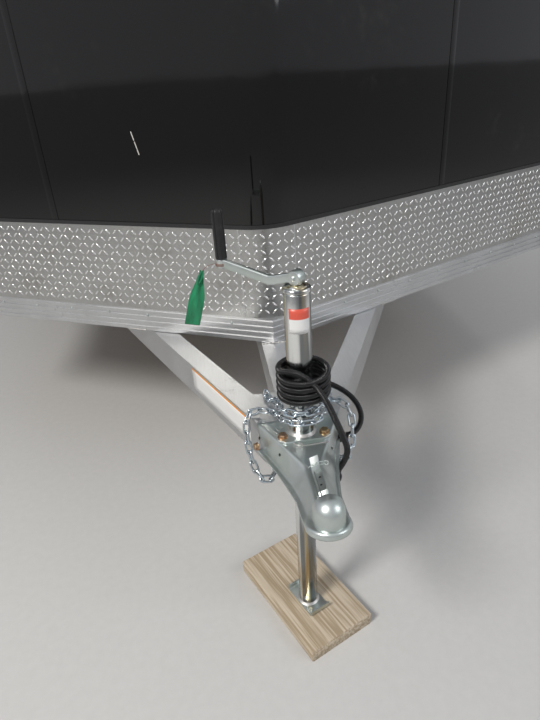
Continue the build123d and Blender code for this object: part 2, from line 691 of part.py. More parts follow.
# Safety chains: across, behind the jack's axis and up, along the middle of the links
CHAIN_LINES = [
    [(-60, 54, 501), (-63, 38, 487), (-74, 20, 478), (-91, 9, 475), (-109, 24, 482), (-119, 44, 502), (-125, 56, 535),
     (-128, 66, 566), (-127, 76, 597), (-124, 85, 620), (-113, 93, 631), (-97, 95, 632), (-80, 88, 633),
     (-64, 74, 637), (-54, 54, 646), (-50, 28, 656), (-47, -2, 665), (-37, -30, 672), (-12, -47, 676),
     (15, -47, 676), (40, -29, 675), (52, -2, 672), (58, 26, 670), (66, 50, 663), (80, 72, 650), (98, 90, 638),
     (113, 94, 633), (126, 81, 626), (134, 65, 610), (135, 49, 588), (131, 36, 564), (126, 24, 543), (117, 14, 522),
     (108, 14, 507), (98, 26, 500), (88, 42, 501), (80, 56, 502)],
    [(-60, 190, 628), (-66, 168, 628), (-58, 142, 632), (-50, 117, 642), (-48, 92, 654), (-49, 66, 667),
     (-49, 38, 680), (-48, 10, 690), (-44, -18, 696), (-28, -40, 700), (-3, -48, 702), (22, -43, 703),
     (42, -26, 703), (52, 0, 701), (56, 28, 696), (60, 56, 687), (66, 84, 671), (75, 108, 652), (90, 126, 636),
     (104, 142, 629), (101, 166, 629)],
]


def chain_joints(line):
    """Points one pitch apart along a line, where each link meets the next."""
    joints = [Vector(*line[0])]
    for first, last in zip(line, line[1:]):
        start, run = Vector(*first), Vector(*last) - Vector(*first)
        steps = int(run.length * 10) + 1
        for step in range(1, steps + 1):
            here = start + run * (step / steps)
            if (here - joints[-1]).length >= CHAIN_PITCH:
                joints.append(here)
    return [joint + Vector(0, JACK_Y, 0) for joint in joints]


def octagon(half_length, half_width, corner):
    right = [(half_length, half_width - corner), (half_length - corner, half_width)]
    top = right + [(-x, y) for x, y in reversed(right)]
    return Polygon(*top, *[(-x, -y) for x, y in top], align=None)


def make_safety_chains():
    """Plain flat links, each turned a quarter from the one before, that pass through each other with a little play."""
    inner_half = (CHAIN_PITCH + CHAIN_GAP) / 2
    ring = octagon(inner_half + CHAIN_WIRE, CHAIN_HALF_WIDTH, 5) - octagon(inner_half, CHAIN_HALF_WIDTH - CHAIN_WIRE, 2)
    links = []
    for line in CHAIN_LINES:
        joints = chain_joints(line)
        normal = Vector(0, 0, 1)
        for number, (start, end) in enumerate(zip(joints, joints[1:])):
            along = (end - start).normalized()
            normal = (normal - along * normal.dot(along)).normalized()
            facing = normal.rotate(Axis((0, 0, 0), tuple(along)), 45 + 90 * (number % 2))
            plane = Plane(origin=(start + end) / 2, x_dir=along, z_dir=facing)
            links.append(one(extrude(plane * ring, amount=CHAIN_WIRE / 2, both=True)))
    return Compound(children=links)


def coil_point(degree, height):
    turn = radians(degree)
    return COIL_X + COIL_MEAN * cos(turn), -COIL_AHEAD + COIL_MEAN * sin(turn), height


def grommet_ends():
    """The middle of the grommet's inner and outer faces, on the outer side of the rail."""
    base = (tongue_half(GROMMET_BACK), GROMMET_BACK, GROMMET_Z)
    out = GROMMET_THICKNESS
    return base, (base[0] + out * cos(TONGUE_ANGLE), base[1] - out * sin(TONGUE_ANGLE), base[2])


def grommet_middle():
    base, face = grommet_ends()
    return tuple((low + high) / 2 for low, high in zip(base, face))


# Wiring loom: across, behind the jack's axis and up. The feed runs from the rail to the coil, the lead to the plug.
LOOM_FEED = [
    grommet_middle(),
    (135.6, 64.9, 543.3), (154.7, 64.5, 560.9), (164.3, 70.5, 584.5), (162.1, 80.7, 608.6), (150.9, 92.6, 629.4),
    (133.7, 103.6, 646.2), (112.8, 111, 660.6), (90.3, 111.5, 674.3), (68.4, 104.8, 687.6), (47.5, 94.1, 699.8),
    (27.5, 80.7, 710.7), (8, 65.4, 720.2), (-11.3, 48.8, 727.6),
    coil_point(COIL_START, COIL_START_Z),
]
LOOM_LEAD = [
    coil_point(COIL_END, COIL_END_Z),
    (-29.8, -31.8, 802.2), (-12.9, -44.7, 802.7), (3.5, -54.9, 796.7), (18.6, -62.2, 783.4),
    (31.9, -67, 764), (43.5, -69.8, 741), (54, -71.5, 716.5), (63, -73, 692), (72, -74, 668),
    (81, -73, 643), (89, -68, 618), (94, -59, 594), (95, -47, 570), (94, -34, 547), (90, -23, 524),
    (82, -14, 500),
]


def loom_tube(points):
    """A round tube along straight runs joined by arcs as large as the runs allow."""
    places = [Vector(x, JACK_Y + y, z) for x, y, z in points]
    radii = []
    for before, here, after in zip(places, places[1:], places[2:]):
        turn = (here - before).get_angle(after - here)
        shorter = min((here - before).length, (after - here).length)
        radii.append(0.45 * shorter / tan(radians(turn) / 2))
    print("loom radii", [round(radius) for radius in radii])
    path = FilletPolyline(*places, radius=radii)
    start = Plane(origin=places[0], z_dir=places[1] - places[0])
    swept = sweep(start * Circle(LOOM_RADIUS), path=path)
    print("loom length", round(path.length, 1), "volume share", round(swept.volume / (
        pi * LOOM_RADIUS ** 2 * path.length), 4))
    return swept


def coil_stub(height, start):
    """Part of a turn of the loom, lying on the coil."""
    base = Plane(origin=(COIL_X, COIL_Y, height), x_dir=(cos(radians(start)), sin(radians(start)), 0),
                 z_dir=(sin(radians(start)), -cos(radians(start)), 0))
    circle = base * Pos(COIL_MEAN, 0) * Circle(LOOM_RADIUS)
    return revolve(circle, axis=Axis((COIL_X, COIL_Y, height), (0, 0, 1)), revolution_arc=STUB_TURN)


def make_loom_coil():
    """The outer shape of the turns wound round the jack, with the first and last turn's ends."""
    low = (COIL_X, COIL_Y, COIL_LOW)
    high = (COIL_X, COIL_Y, COIL_HIGH)
    ring = rod(low, high, COIL_MEAN + LOOM_RADIUS) - rod(low, high, COIL_MEAN - LOOM_RADIUS)
    stubs = [coil_stub(COIL_START_Z, COIL_START), coil_stub(COIL_END_Z, COIL_END - STUB_TURN)]
    return one(ring.fuse(*stubs))


def longest(shape):
    """The main piece of a tube whose end is cut by the coil it comes from."""
    return max(shape.solids(), key=lambda solid: solid.volume)


def make_loom_feed():
    return longest(loom_tube(LOOM_FEED) - make_loom_coil() - make_loom_grommet())


def make_loom_lead():
    return longest(loom_tube(LOOM_LEAD) - make_loom_coil())


def make_loom_plug():
    """A round plug on the lead's end, with its neck and collar."""
    end = Vector(LOOM_LEAD[-1][0], JACK_Y + LOOM_LEAD[-1][1], LOOM_LEAD[-1][2])
    before = Vector(LOOM_LEAD[-2][0], JACK_Y + LOOM_LEAD[-2][1], LOOM_LEAD[-2][2])
    along = (end - before).normalized()
    neck_end = end + along * 18
    body_end = neck_end + along * PLUG_LENGTH
    neck = rod(tuple(end), tuple(neck_end), PLUG_NECK)
    body = rod(tuple(neck_end), tuple(body_end), PLUG_RADIUS)
    collar = rod(tuple(body_end - along * 14), tuple(body_end), PLUG_COLLAR)
    return one(neck.fuse(body, collar))


def make_loom_grommet():
    base, face = grommet_ends()
    return one(Pos(0, JACK_Y, 0) * rod(base, face, GROMMET_RADIUS))


# Running gear
def make_axle():
    spring_top = TYRE_RADIUS + AXLE_RADIUS
    reach = WHEEL_X - AXLE_STUB
    beam = rod((-reach, AXLE_Y, TYRE_RADIUS), (reach, AXLE_Y, TYRE_RADIUS), AXLE_RADIUS)
    spindle = rod((-WHEEL_X - 20, AXLE_Y, TYRE_RADIUS), (WHEEL_X + 20, AXLE_Y, TYRE_RADIUS), SPINDLE_RADIUS)
    pads = [block(side * BEAM_X - 30, side * BEAM_X + 30, AXLE_Y - 45, AXLE_Y + 45, spring_top - 14, spring_top + 12)
            for side in (-1, 1)]
    return one(beam.fuse(spindle, *pads))


def leaf(half_span, end_z, middle_z, thickness):
    """One arched leaf seen from the side, carried across its width."""
    upper = ThreePointArc((0, -half_span, end_z), (0, 0, middle_z), (0, half_span, end_z))
    lower = ThreePointArc((0, -half_span, end_z - thickness), (0, 0, middle_z - thickness),
                          (0, half_span, end_z - thickness))
    front = Line((0, -half_span, end_z), (0, -half_span, end_z - thickness))
    rear = Line((0, half_span, end_z), (0, half_span, end_z - thickness))
    face = make_face([upper.edge(), rear.edge(), lower.edge(), front.edge()])
    return Pos(-SPRING_WIDTH / 2, 0, 0) * extrude(face, amount=SPRING_WIDTH, dir=(1, 0, 0))


def make_leaf_springs():
    seat = TYRE_RADIUS + AXLE_RADIUS + 12
    half_span = SPRING_SPAN / 2
    middle = seat + 3 * SPRING_LEAF
    rise = SPRING_EYE_Z - middle
    parts = [leaf(half_span, SPRING_EYE_Z, middle, SPRING_LEAF)]
    for layer, share in enumerate((0.72, 0.45), start=1):
        drop = layer * SPRING_LEAF
        parts.append(leaf(half_span * share, SPRING_EYE_Z - drop - rise * (1 - share ** 2), middle - drop, SPRING_LEAF))
    for side in (-1, 1):
        eye = rod((-SPRING_WIDTH / 2, side * half_span, SPRING_EYE_Z), (SPRING_WIDTH / 2, side * half_span, SPRING_EYE_Z),
                  EYE_RADIUS)
        parts.append(eye)
    spring = parts[0].fuse(*parts[1:])
    for side in (-1, 1):
        spring = spring - rod((-SPRING_WIDTH, side * half_span, SPRING_EYE_Z), (SPRING_WIDTH, side * half_span,
                                                                             SPRING_EYE_Z), PIN_RADIUS + PIN_FIT)
    spring = one(Pos(BEAM_X, AXLE_Y, 0) * spring)
    return Compound(children=[spring, flip(spring)])


def make_spring_hangers():
    hangers = []
    cheek = SPRING_WIDTH / 2 + 1.0
    for y in (AXLE_Y - SPRING_SPAN / 2, AXLE_Y + SPRING_SPAN / 2):
        plates = [block(BEAM_X + side * cheek, BEAM_X + side * (cheek + 6), y - 32, y + 32, SPRING_EYE_Z - 22, TUBE_LOW)
                  for side in (-1, 1)]
        cap = block(BEAM_X - cheek - 6, BEAM_X + cheek + 6, y - 32, y + 32, TUBE_LOW - 6, TUBE_LOW)
        pin = rod((BEAM_X - cheek - 14, y, SPRING_EYE_Z), (BEAM_X + cheek + 14, y, SPRING_EYE_Z), PIN_RADIUS)
        hanger = one(cap.fuse(*plates, pin))
        hangers.extend([hanger, flip(hanger)])
    return Compound(children=hangers)


# Tyre's profile: radius, half width there
TYRE_PROFILE = [
    (RIM_RADIUS + 2.7, TYRE_WIDTH / 2 - 18),
    (TYRE_RADIUS - 60, TYRE_WIDTH / 2),
    (TYRE_RADIUS - 16, TYRE_WIDTH / 2 - 14),
    (TYRE_RADIUS, TYRE_WIDTH / 2 - 34),
]


def make_tyre():
    """A faceted ring, plain because the tread is not a solid."""
    sections = []
    for radius, half in TYRE_PROFILE:
        turns = [2 * pi * i / TYRE_FACETS for i in range(TYRE_FACETS)]
        sections.append([(half, radius * cos(turn), radius * sin(turn)) for turn in turns])
    rings = [[(-x, y, z) for x, y, z in section] for section in sections]
    rings += list(reversed(sections))
    ring = loft([make_face(Polyline(*points, close=True)) for points in rings], ruled=True)
    bore = [(-TYRE_WIDTH, y, z) for x, y, z in sections[0]]
    hole = extrude(make_face(Polyline(*bore, close=True)), amount=2 * TYRE_WIDTH, dir=(1, 0, 0))
    return one(Pos(WHEEL_X, AXLE_Y, TYRE_RADIUS) * (ring - hole))


def make_rim():
    half = TYRE_WIDTH / 2 - 18
    barrel = Cylinder(RIM_RADIUS + 2, 2 * half) - Cylinder(RIM_RADIUS - 6, 2 * half + 2)
    disc = Pos(0, 0, 20) * Cylinder(RIM_RADIUS, 8)
    hub = Pos(0, 0, 8) * Cylinder(42, 100)
    hole = Cylinder(SPINDLE_RADIUS + SPINDLE_FIT, 70)
    bore = Pos(0, 0, -45) * Cylinder(SPINDLE_RADIUS + SPINDLE_FIT, 150)
    vents = [Rot(0, 0, 72 * i) * Pos(92, 0, 20) * Cylinder(13, 20) for i in range(5)]
    rim = barrel.fuse(disc, hub) - hole - bore
    rim = rim - Compound(children=[one(v) for v in vents])
    return one(Pos(WHEEL_X, AXLE_Y, TYRE_RADIUS) * Rot(0, 90, 0) * rim)


# Rear
def make_ramp_door():
    reach = HALF - POST_WIDTH - RAMP_GAP
    return one(block(-reach, reach, REAR_Y - RAMP_THICKNESS, REAR_Y, FLOOR_Z + 4.0, HEADER_Z - RAMP_GAP))


def make_ramp_hinge():
    parts = []
    for start, end in hinge_places()[1::2]:
        first, last = start + KNUCKLE_PLAY, end - KNUCKLE_PLAY
        knuckle = rod((first, HINGE_Y, HINGE_Z), (last, HINGE_Y, HINGE_Z), HINGE_RADIUS)
        leaf_plate = block(first, last, HINGE_Y, REAR_Y - 4, HINGE_Z + 1, FLOOR_Z + 4.0)
        parts.append(one(knuckle.fuse(leaf_plate)))
    return Compound(children=parts)


def make_ramp_locks():
    x = HALF - POST_WIDTH - LOCK_FROM_POST
    y = REAR_Y + 14
    bar = rod((x, y, FLOOR_Z + 70), (x, y, HEADER_Z - 40), LOCK_BAR_RADIUS)
    middle = FLOOR_Z + LOCK_FOOT_SHARE * RAMP_OPENING_HEIGHT
    feet = [block(x - 22, x + 22, REAR_Y, y + 4, z, z + 34)
            for z in (FLOOR_Z + LOCK_FOOT_LOW, middle, HEADER_Z - LOCK_FOOT_TOP)]
    low = FLOOR_Z + LOCK_HANDLE_SHARE * RAMP_OPENING_HEIGHT
    handle = block(x - LOCK_HANDLE_REACH, x, y - 2, y + 8, low, low + 30)
    lock = one(bar.fuse(*feet, handle))
    return Compound(children=[lock, flip(lock)])


def make_tail_lights():
    x = HALF - POST_WIDTH / 2
    low = FLOOR_Z + TAIL_LIGHT_LOW
    lamp = block(x - TAIL_LIGHT_HALF, x + TAIL_LIGHT_HALF, REAR_Y, REAR_Y + TAIL_LIGHT_DEPTH, low,
                 low + TAIL_LIGHT_HEIGHT)
    lamp = one(chamfer(lamp.edges().group_by(Axis.Y)[-1], 8))
    return Compound(children=[lamp, flip(lamp)])


def make_plate_bracket():
    """A flat plate that hangs from the sill's back, with the two holes of a number plate."""
    plate = block(PLATE_X - PLATE_HALF, PLATE_X + PLATE_HALF, SILL_BACK, SILL_BACK + 3, FRAME_Z - 140, FRAME_Z + 22)
    for side in (-1, 1):
        x = PLATE_X + side * PLATE_HOLES / 2
        plate = plate - rod((x, SILL_BACK - 5, PLATE_HOLE_Z), (x, SILL_BACK + 5, PLATE_HOLE_Z), PLATE_HOLE_RADIUS)
    return one(plate)


# Lamps
def lamp_set(places):
    """Small lamps: each row is x, y, z of the face's middle and the way that it faces."""
    lamps = []
    for x, y, z, facing in places:
        if facing == "side":
            low = (min(x, x + (20 if x > 0 else -20)), y - 32, z - 14)
            size = (20, 64, 28)
        else:
            low = (x - 32, y, z - 14)
            size = (64, 20, 28)
        lamps.append(one(block(low[0], low[0] + size[0], low[1], low[1] + size[1], low[2], low[2] + size[2])))
    return Compound(children=lamps)


def make_amber_markers():
    x = HALF - SKIN_INSET
    z = WALL_TOP - 90
    return lamp_set([(x, SHOULDER_Y + 120, z, "side"), (-x, SHOULDER_Y + 120, z, "side")])


def make_red_markers():
    x = HALF - SKIN_INSET
    z = WALL_TOP - 90
    rear = [(offset, REAR_Y, WALL_TOP - 30, "rear") for offset in (-MARKER_PITCH, 0, MARKER_PITCH)]
    return lamp_set([(x, SILL_FRONT - 120, z, "side"), (-x, SILL_FRONT - 120, z, "side")] + rear)


# Side door
def make_side_door():
    return one(block(-HALF + SKIN_INSET, -HALF + WALL_INSET, DOOR_Y0, DOOR_Y1, DOOR_Z0, DOOR_Z1))


def make_side_door_hinges():
    """Three strap hinges, each knuckle in front of the door's edge and its strap on the door's face."""
    hinges = []
    x = -HALF + DOOR_HINGE_INSET
    y = DOOR_Y0 - DOOR_GAP / 2
    for z in (DOOR_Z0 + 150, (DOOR_Z0 + DOOR_Z1) / 2, DOOR_Z1 - 150):
        knuckle = rod((x, y, z - 45), (x, y, z + 45), DOOR_HINGE_RADIUS)
        strap = block(-HALF + SKIN_INSET - 4, -HALF + SKIN_INSET, y, DOOR_Y0 + 90, z - 30, z + 30)
        hinges.append(one(knuckle.fuse(strap)))
    return Compound(children=hinges)


def make_side_door_latch():
    z = DOOR_Z0 + SIDE_LATCH_SHARE * DOOR_HEIGHT
    base = block(-HALF + SKIN_INSET - 6, -HALF + SKIN_INSET, DOOR_Y1 - 120, DOOR_Y1 - 30, z - 60, z + 60)
    lever = block(-HALF - 10, -HALF + SKIN_INSET - 5, DOOR_Y1 - 100, DOOR_Y1 - 50, z - 40, z + 20)
    return one(base.fuse(lever))


RAIL = make_tongue_rail()
WALL = make_nose_wall()
NODES = {
    "tongue_rail_left": RAIL,
    "tongue_rail_right": flip(RAIL),
    "tongue_centre_beam": make_centre_beam(),
    "main_beams": make_main_beams(),
    "crossmembers": make_crossmembers(),
    "floor_deck": make_floor_deck(),
    "front_bottom_rail": make_front_bottom_rail(),
    "side_bottom_rails": make_side_bottom_rails(),
    "rear_sill": make_rear_sill(),
    "nose_wall_left": WALL,
    "nose_wall_right": flip(WALL),
    "nose_corner_post": make_nose_corner_post(),
    "side_wall_left": make_side_wall(),
    "side_wall_right": make_door_wall(),
    "roof": make_roof(),
    "roof_edge_trim": make_roof_edge_trim(),
    "rear_frame": make_rear_frame(),
    "stone_guard": make_stone_guard(),
    "roof_vent_base": make_roof_vent_base(),
    "roof_vent_lid": make_roof_vent_lid(),
    "tongue_gussets": make_tongue_gussets(),
    "coupler": make_coupler(),
    "coupler_latch": make_coupler_latch(),
    "jack_tube": make_jack_tube(),
    "jack_leg": make_jack_leg(),
    "jack_foot": make_jack_foot(),
    "support_board": make_support_board(),
    "crank_arm": make_crank_arm(),
    "crank_grip": make_crank_grip(),
    "crank_ribbon": make_crank_ribbon(),
    "safety_chains": make_safety_chains(),
    "loom_grommet": make_loom_grommet(),
    "loom_feed": make_loom_feed(),
    "loom_coil": make_loom_coil(),
    "loom_lead": make_loom_lead(),
    "loom_plug": make_loom_plug(),
    "axle": make_axle(),
    "leaf_springs": make_leaf_springs(),
    "spring_hangers": make_spring_hangers(),
    "tyre_left": make_tyre(),
    "tyre_right": flip(make_tyre()),
    "rim_left": make_rim(),
    "rim_right": flip(make_rim()),
    "ramp_door": make_ramp_door(),
    "ramp_hinge": make_ramp_hinge(),
    "ramp_locks": make_ramp_locks(),
    "side_door": make_side_door(),
    "side_door_hinges": make_side_door_hinges(),
    "side_door_latch": make_side_door_latch(),
    "tail_lights": make_tail_lights(),
    "amber_markers": make_amber_markers(),
    "red_markers": make_red_markers(),
    "plate_bracket": make_plate_bracket(),
}

os.makedirs("parts", exist_ok=True)
for name, shape in NODES.items():
    export_step(shape, f"parts/{name}.step")
    print(name, round(shape.volume / 1e6, 3))
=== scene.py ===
"""Looks of an enclosed V-nose snowmobile trailer that stands on its tongue jack, built round its frame.

Metres. X is across with the driver's side at +X, Y runs back from the coupler, Z is up from the ground.
Tables for the tongue are in millimetres from the jack's axis: x across, y behind it, z above the ground.
"""
import json
from math import cos, pi, radians, sin, tan

import bmesh
import bpy
import numpy as np
from mathutils import Matrix, Vector


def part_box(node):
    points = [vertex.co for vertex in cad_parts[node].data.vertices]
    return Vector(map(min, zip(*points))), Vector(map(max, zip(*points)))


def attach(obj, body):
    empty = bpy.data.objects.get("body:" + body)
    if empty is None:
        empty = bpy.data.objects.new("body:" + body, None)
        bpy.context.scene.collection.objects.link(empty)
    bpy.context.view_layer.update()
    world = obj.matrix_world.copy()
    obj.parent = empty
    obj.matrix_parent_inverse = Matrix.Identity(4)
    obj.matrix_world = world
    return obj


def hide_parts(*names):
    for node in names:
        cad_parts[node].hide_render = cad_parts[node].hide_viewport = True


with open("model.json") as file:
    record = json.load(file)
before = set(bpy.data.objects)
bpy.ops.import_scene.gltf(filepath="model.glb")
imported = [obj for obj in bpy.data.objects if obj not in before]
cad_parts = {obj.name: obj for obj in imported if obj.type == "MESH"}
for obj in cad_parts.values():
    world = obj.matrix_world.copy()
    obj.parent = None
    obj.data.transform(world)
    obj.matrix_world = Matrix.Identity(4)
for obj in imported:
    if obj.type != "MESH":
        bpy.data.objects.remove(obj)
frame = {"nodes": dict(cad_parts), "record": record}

bl_info = {
    "name": "Snowmobile trailer looks",
    "version": (1, 0, 0),
    "blender": (4, 5, 0),
    "location": "3D View > Sidebar > Trailer",
    "description": "Builds the visible pieces and finishes of an enclosed snowmobile trailer round its frame",
    "category": "Add Mesh",
}

# Places, read from the frame where it has them
JACK_Y = sum(corner.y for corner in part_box("jack_leg")) / 2
JACK_TO_NOSE = 0.480
NOSE_DEPTH = 0.645
NOSE_Y = JACK_Y + JACK_TO_NOSE
SHOULDER_Y = NOSE_Y + NOSE_DEPTH
HALF = 1.2825
NOSE_ANGLE = np.arctan2(HALF, NOSE_DEPTH)
SKIN_INSET = 0.008
CORNER_TANGENT = 0.075
FLOOR_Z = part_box("floor_deck")[1].z
FRAME_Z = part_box("front_bottom_rail")[0].z
WALL_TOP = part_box("nose_wall_left")[1].z
GUARD_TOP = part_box("stone_guard")[1].z
GUARD_PROUD = 0.003
TRIM_TOP = GUARD_TOP + 0.011
SKIN_TOP = WALL_TOP - 0.045
TRIM_SCREW_Z = WALL_TOP - 0.018
SILL_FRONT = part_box("floor_deck")[1].y
REAR_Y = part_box("ramp_door")[1].y
AXLE_Y = sum(corner.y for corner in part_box("tyre_left")) / 2
TYRE_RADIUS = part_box("tyre_left")[1].z / 2
TYRE_X = sum(corner.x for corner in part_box("tyre_left")) / 2
TONGUE_ANGLE = radians(25)
BOARD_TURN = 25.2
TUBE_RADIUS = 0.02857

# Millimetres from the jack's axis: where the rails' outer faces would meet, and the height of their top
RAIL_APEX = 154
COUPLER_TOP = 620.0

UP = np.array([0.0, 0.0, 1.0])
TINY = 1e-6
JACK_AXIS = np.array([0.0, JACK_Y, 0.0])
NODE_SLOTS = {part["node"]: part["material_slot"] for part in frame["record"]["subparts"]}


def looks():
    """The sizes and colours that a user may change."""
    return bpy.context.scene.trailer_looks


# Shapes
def unit(vector):
    """vector / |vector|, for one vector or rows of them."""
    vector = np.asarray(vector, float)
    return vector / np.linalg.norm(vector, axis=-1, keepdims=True)


def at_jack(points):
    """(x, y, z) in millimetres from the jack's axis becomes (x, y, z) / 1000 + (0, JACK_Y, 0)."""
    return np.asarray(points, float) / 1000 + (0, JACK_Y, 0)


def lengths_along(points):
    """How far along a line each of its points is: the sum of the steps before it."""
    return np.concatenate([[0.0], np.cumsum(np.linalg.norm(np.diff(points, axis=0), axis=1))])


def line_at(marks, own_marks, points):
    """Places at some marks along a line that is straight between its points, which stand at their own marks."""
    return np.stack([np.interp(marks, own_marks, points[:, axis]) for axis in range(3)], axis=1)


def board_axes():
    """The board's directions across and along: (cos t, sin t, 0) and (-sin t, cos t, 0) for its turn t."""
    turn = radians(BOARD_TURN)
    return np.array([cos(turn), sin(turn), 0.0]), np.array([-sin(turn), cos(turn), 0.0])


def grid_faces(rows, columns, close_rows=False, close_columns=False):
    """Quads of a grid numbered row by row: (r, c), (r, c + 1), (r + 1, c + 1), (r + 1, c)."""
    row = np.arange(rows if close_rows else rows - 1)[:, None]
    column = np.arange(columns if close_columns else columns - 1)[None, :]
    after_row, after_column = (row + 1) % rows, (column + 1) % columns
    quads = [row * columns + column, row * columns + after_column,
             after_row * columns + after_column, after_row * columns + column]
    return np.stack([q + 0 * column for q in quads], axis=-1).reshape(-1, 4)


def joined(parts):
    """One list of points and faces from several (points, faces), each numbered on from the last."""
    points, faces, start = [], [], 0
    for part_points, part_faces in parts:
        part_points = np.asarray(part_points, float).reshape(-1, 3)
        points.append(part_points)
        faces.extend([[start + int(corner) for corner in face] for face in part_faces])
        start += len(part_points)
    return np.concatenate(points), faces


def turned(profile, origin, axis=(0, 0, 1), around=48, flute=None):
    """A profile of (height, radius) round an axis: origin + height * axis + radius * (u cos t + v sin t).

    flute gives a factor for the radius at each angle t. Rows of radius 0 close to a pole.
    """
    profile = np.asarray(profile, float)
    axis = unit(axis)
    aside = unit(np.cross(axis, (0.31, 0.94, 0.13)))
    turn = np.linspace(0, 2 * pi, around, endpoint=False)
    ring = np.cos(turn)[:, None] * aside + np.sin(turn)[:, None] * np.cross(axis, aside)
    radius = profile[:, 1][:, None] * (1.0 if flute is None else flute(turn)[None, :])
    points = np.asarray(origin, float) + profile[:, 0][:, None, None] * axis + radius[:, :, None] * ring
    return points.reshape(-1, 3), grid_faces(len(profile), around, close_columns=True)


def capped(profile):
    """The profile with a point on the axis before its first and after its last, so that both ends close."""
    profile = [tuple(row) for row in profile]
    return [(profile[0][0], 0.0), *profile, (profile[-1][0], 0.0)]


def frames_along(path):
    """Unit tangents of a path and two normals that don't twist round it.

    Normals are first taken from fixed guides. Each one is carried on to the next point, and its angle to the
    normal there is added up along the path. The normals are turned back by that sum.
    """
    tangent = unit(np.gradient(path, axis=0))
    guide = np.where(np.abs(tangent[:, 2:3]) < 0.8, (0.0, 0.0, 1.0), (1.0, 0.0, 0.0))
    side = unit(np.cross(guide, tangent))
    other = np.cross(tangent, side)
    carried = side[:-1] - tangent[1:] * np.sum(side[:-1] * tangent[1:], axis=1, keepdims=True)
    step = np.arctan2(np.sum(carried * other[1:], axis=1), np.sum(carried * side[1:], axis=1))
    turn = np.concatenate([[0.0], np.cumsum(step)])[:, None]
    return tangent, np.cos(turn) * side + np.sin(turn) * other, np.cos(turn) * other - np.sin(turn) * side


def tube(path, radius, around=12):
    """A tube: path(s) + radius(s) * (n cos t + b sin t), closed at both ends by rings of radius 0."""
    path = np.asarray(path, float)
    radius = np.broadcast_to(np.asarray(radius, float), len(path))[:, None, None]
    _, normal, binormal = frames_along(path)
    turn = np.linspace(0, 2 * pi, around, endpoint=False)[None, :, None]
    rings = path[:, None] + radius * (np.cos(turn) * normal[:, None] + np.sin(turn) * binormal[:, None])
    first, last = [np.repeat(path[end, None], around, axis=1) for end in (slice(0, 1), slice(-1, None))]
    rings = np.concatenate([first, rings, last])
    return rings.reshape(-1, 3), grid_faces(len(rings), around, close_columns=True)


def end_faces(rows, columns):
    """The two flat ends of a grid of closed profiles: its first row turned about, and its last."""
    last = (rows - 1) * columns
    return [list(range(columns))[::-1], list(range(last, last + columns))]


def band(path, across, up, profile):
    """A closed profile of (a, b) carried along a path, with flat ends: path(s) + a * across(s) + b * up(s)."""
    path, profile = np.asarray(path, float), np.asarray(profile, float)
    across, up = [np.broadcast_to(np.asarray(way, float), path.shape)[:, None] for way in (across, up)]
    rows = path[:, None] + profile[:, 0][None, :, None] * across + profile[:, 1][None, :, None] * up
    faces = grid_faces(len(path), len(profile), close_columns=True).tolist()
    return rows.reshape(-1, 3), faces + end_faces(len(path), len(profile))


def rounded_section(width, height, radius, steps=4):
    """A rectangle's outline with quarter-circle corners: corner + radius * (cos t, sin t)."""
    turn = np.linspace(0, pi / 2, steps + 1)
    corners = []
    for number, (x, y) in enumerate(((1, 1), (-1, 1), (-1, -1), (1, -1))):
        angle = turn + number * pi / 2
        centre = np.array([x * (width / 2 - radius), y * (height / 2 - radius)])
        corners.append(centre + radius * np.column_stack([np.cos(angle), np.sin(angle)]))
    return np.concatenate(corners)


def plate(outline, low, high):
    """A plan outline at two heights, its side faces and its two flat ends."""
    outline = np.asarray(outline, float)
    count = len(outline)
    levels = [np.column_stack([outline, np.full(count, z)]) for z in (low, high)]
    return np.concatenate(levels), grid_faces(2, count, close_columns=True).tolist() + end_faces(2, count)


def holed_plate(outline, centre, radius, low, high, around=72):
    """A flat plate with a round hole. At each angle its edge lies min(d / (n . u)) from the hole's centre.

    n and d are a side's outward normal and distance, and u is the unit vector at that angle. Only the sides
    where n . u is above 0 count.
    """
    outline = np.asarray(outline, float) - centre
    ahead = np.roll(outline, -1, axis=0) - outline
    normal = unit(np.column_stack([ahead[:, 1], -ahead[:, 0]]))
    normal *= np.sign(np.sum(normal * outline, axis=1, keepdims=True))
    distance = np.sum(normal * outline, axis=1)
    corners = np.arctan2(outline[:, 1], outline[:, 0])
    turn = np.sort(np.concatenate([np.linspace(-pi, pi, around, endpoint=False), corners]))
    ray = np.column_stack([np.cos(turn), np.sin(turn)])
    facing = ray @ normal.T
    reach = np.min(np.where(facing > TINY, distance / np.maximum(facing, TINY), np.inf), axis=1)
    edge, hole = centre + ray * reach[:, None], centre + ray * radius
    corners = (hole, low), (edge, low), (edge, high), (hole, high)
    rows = [np.column_stack([plan, np.full(len(turn), z)]) for plan, z in corners]
    return np.concatenate(rows), grid_faces(4, len(turn), close_rows=True, close_columns=True)


def slab(low, high):
    """A box between two corners, as a plate of four points."""
    (x0, y0, z0), (x1, y1, z1) = low, high
    return plate([(x0, y0), (x1, y0), (x1, y1), (x0, y1)], z0, z1)


def border(outer, inner, near, far, facing_y=False):
    """Four bars between two upright rectangles (a0, a1, z0, z1): two sides at full height, top and bottom.

    They lie from near to far along X, with a along Y. With facing_y it is the other way round.
    """
    (a0, a1, z0, z1), (b0, b1, bottom, top) = outer, inner
    spans = [(a0, b0, z0, z1), (b1, a1, z0, z1), (b0, b1, top, z1), (b0, b1, z0, bottom)]
    bars = []
    for start, end, low, high in spans:
        corners = np.array([(near, start, low), (far, end, high)])
        bars.append(slab(*(corners[:, [1, 0, 2]] if facing_y else corners)))
    return joined(bars)


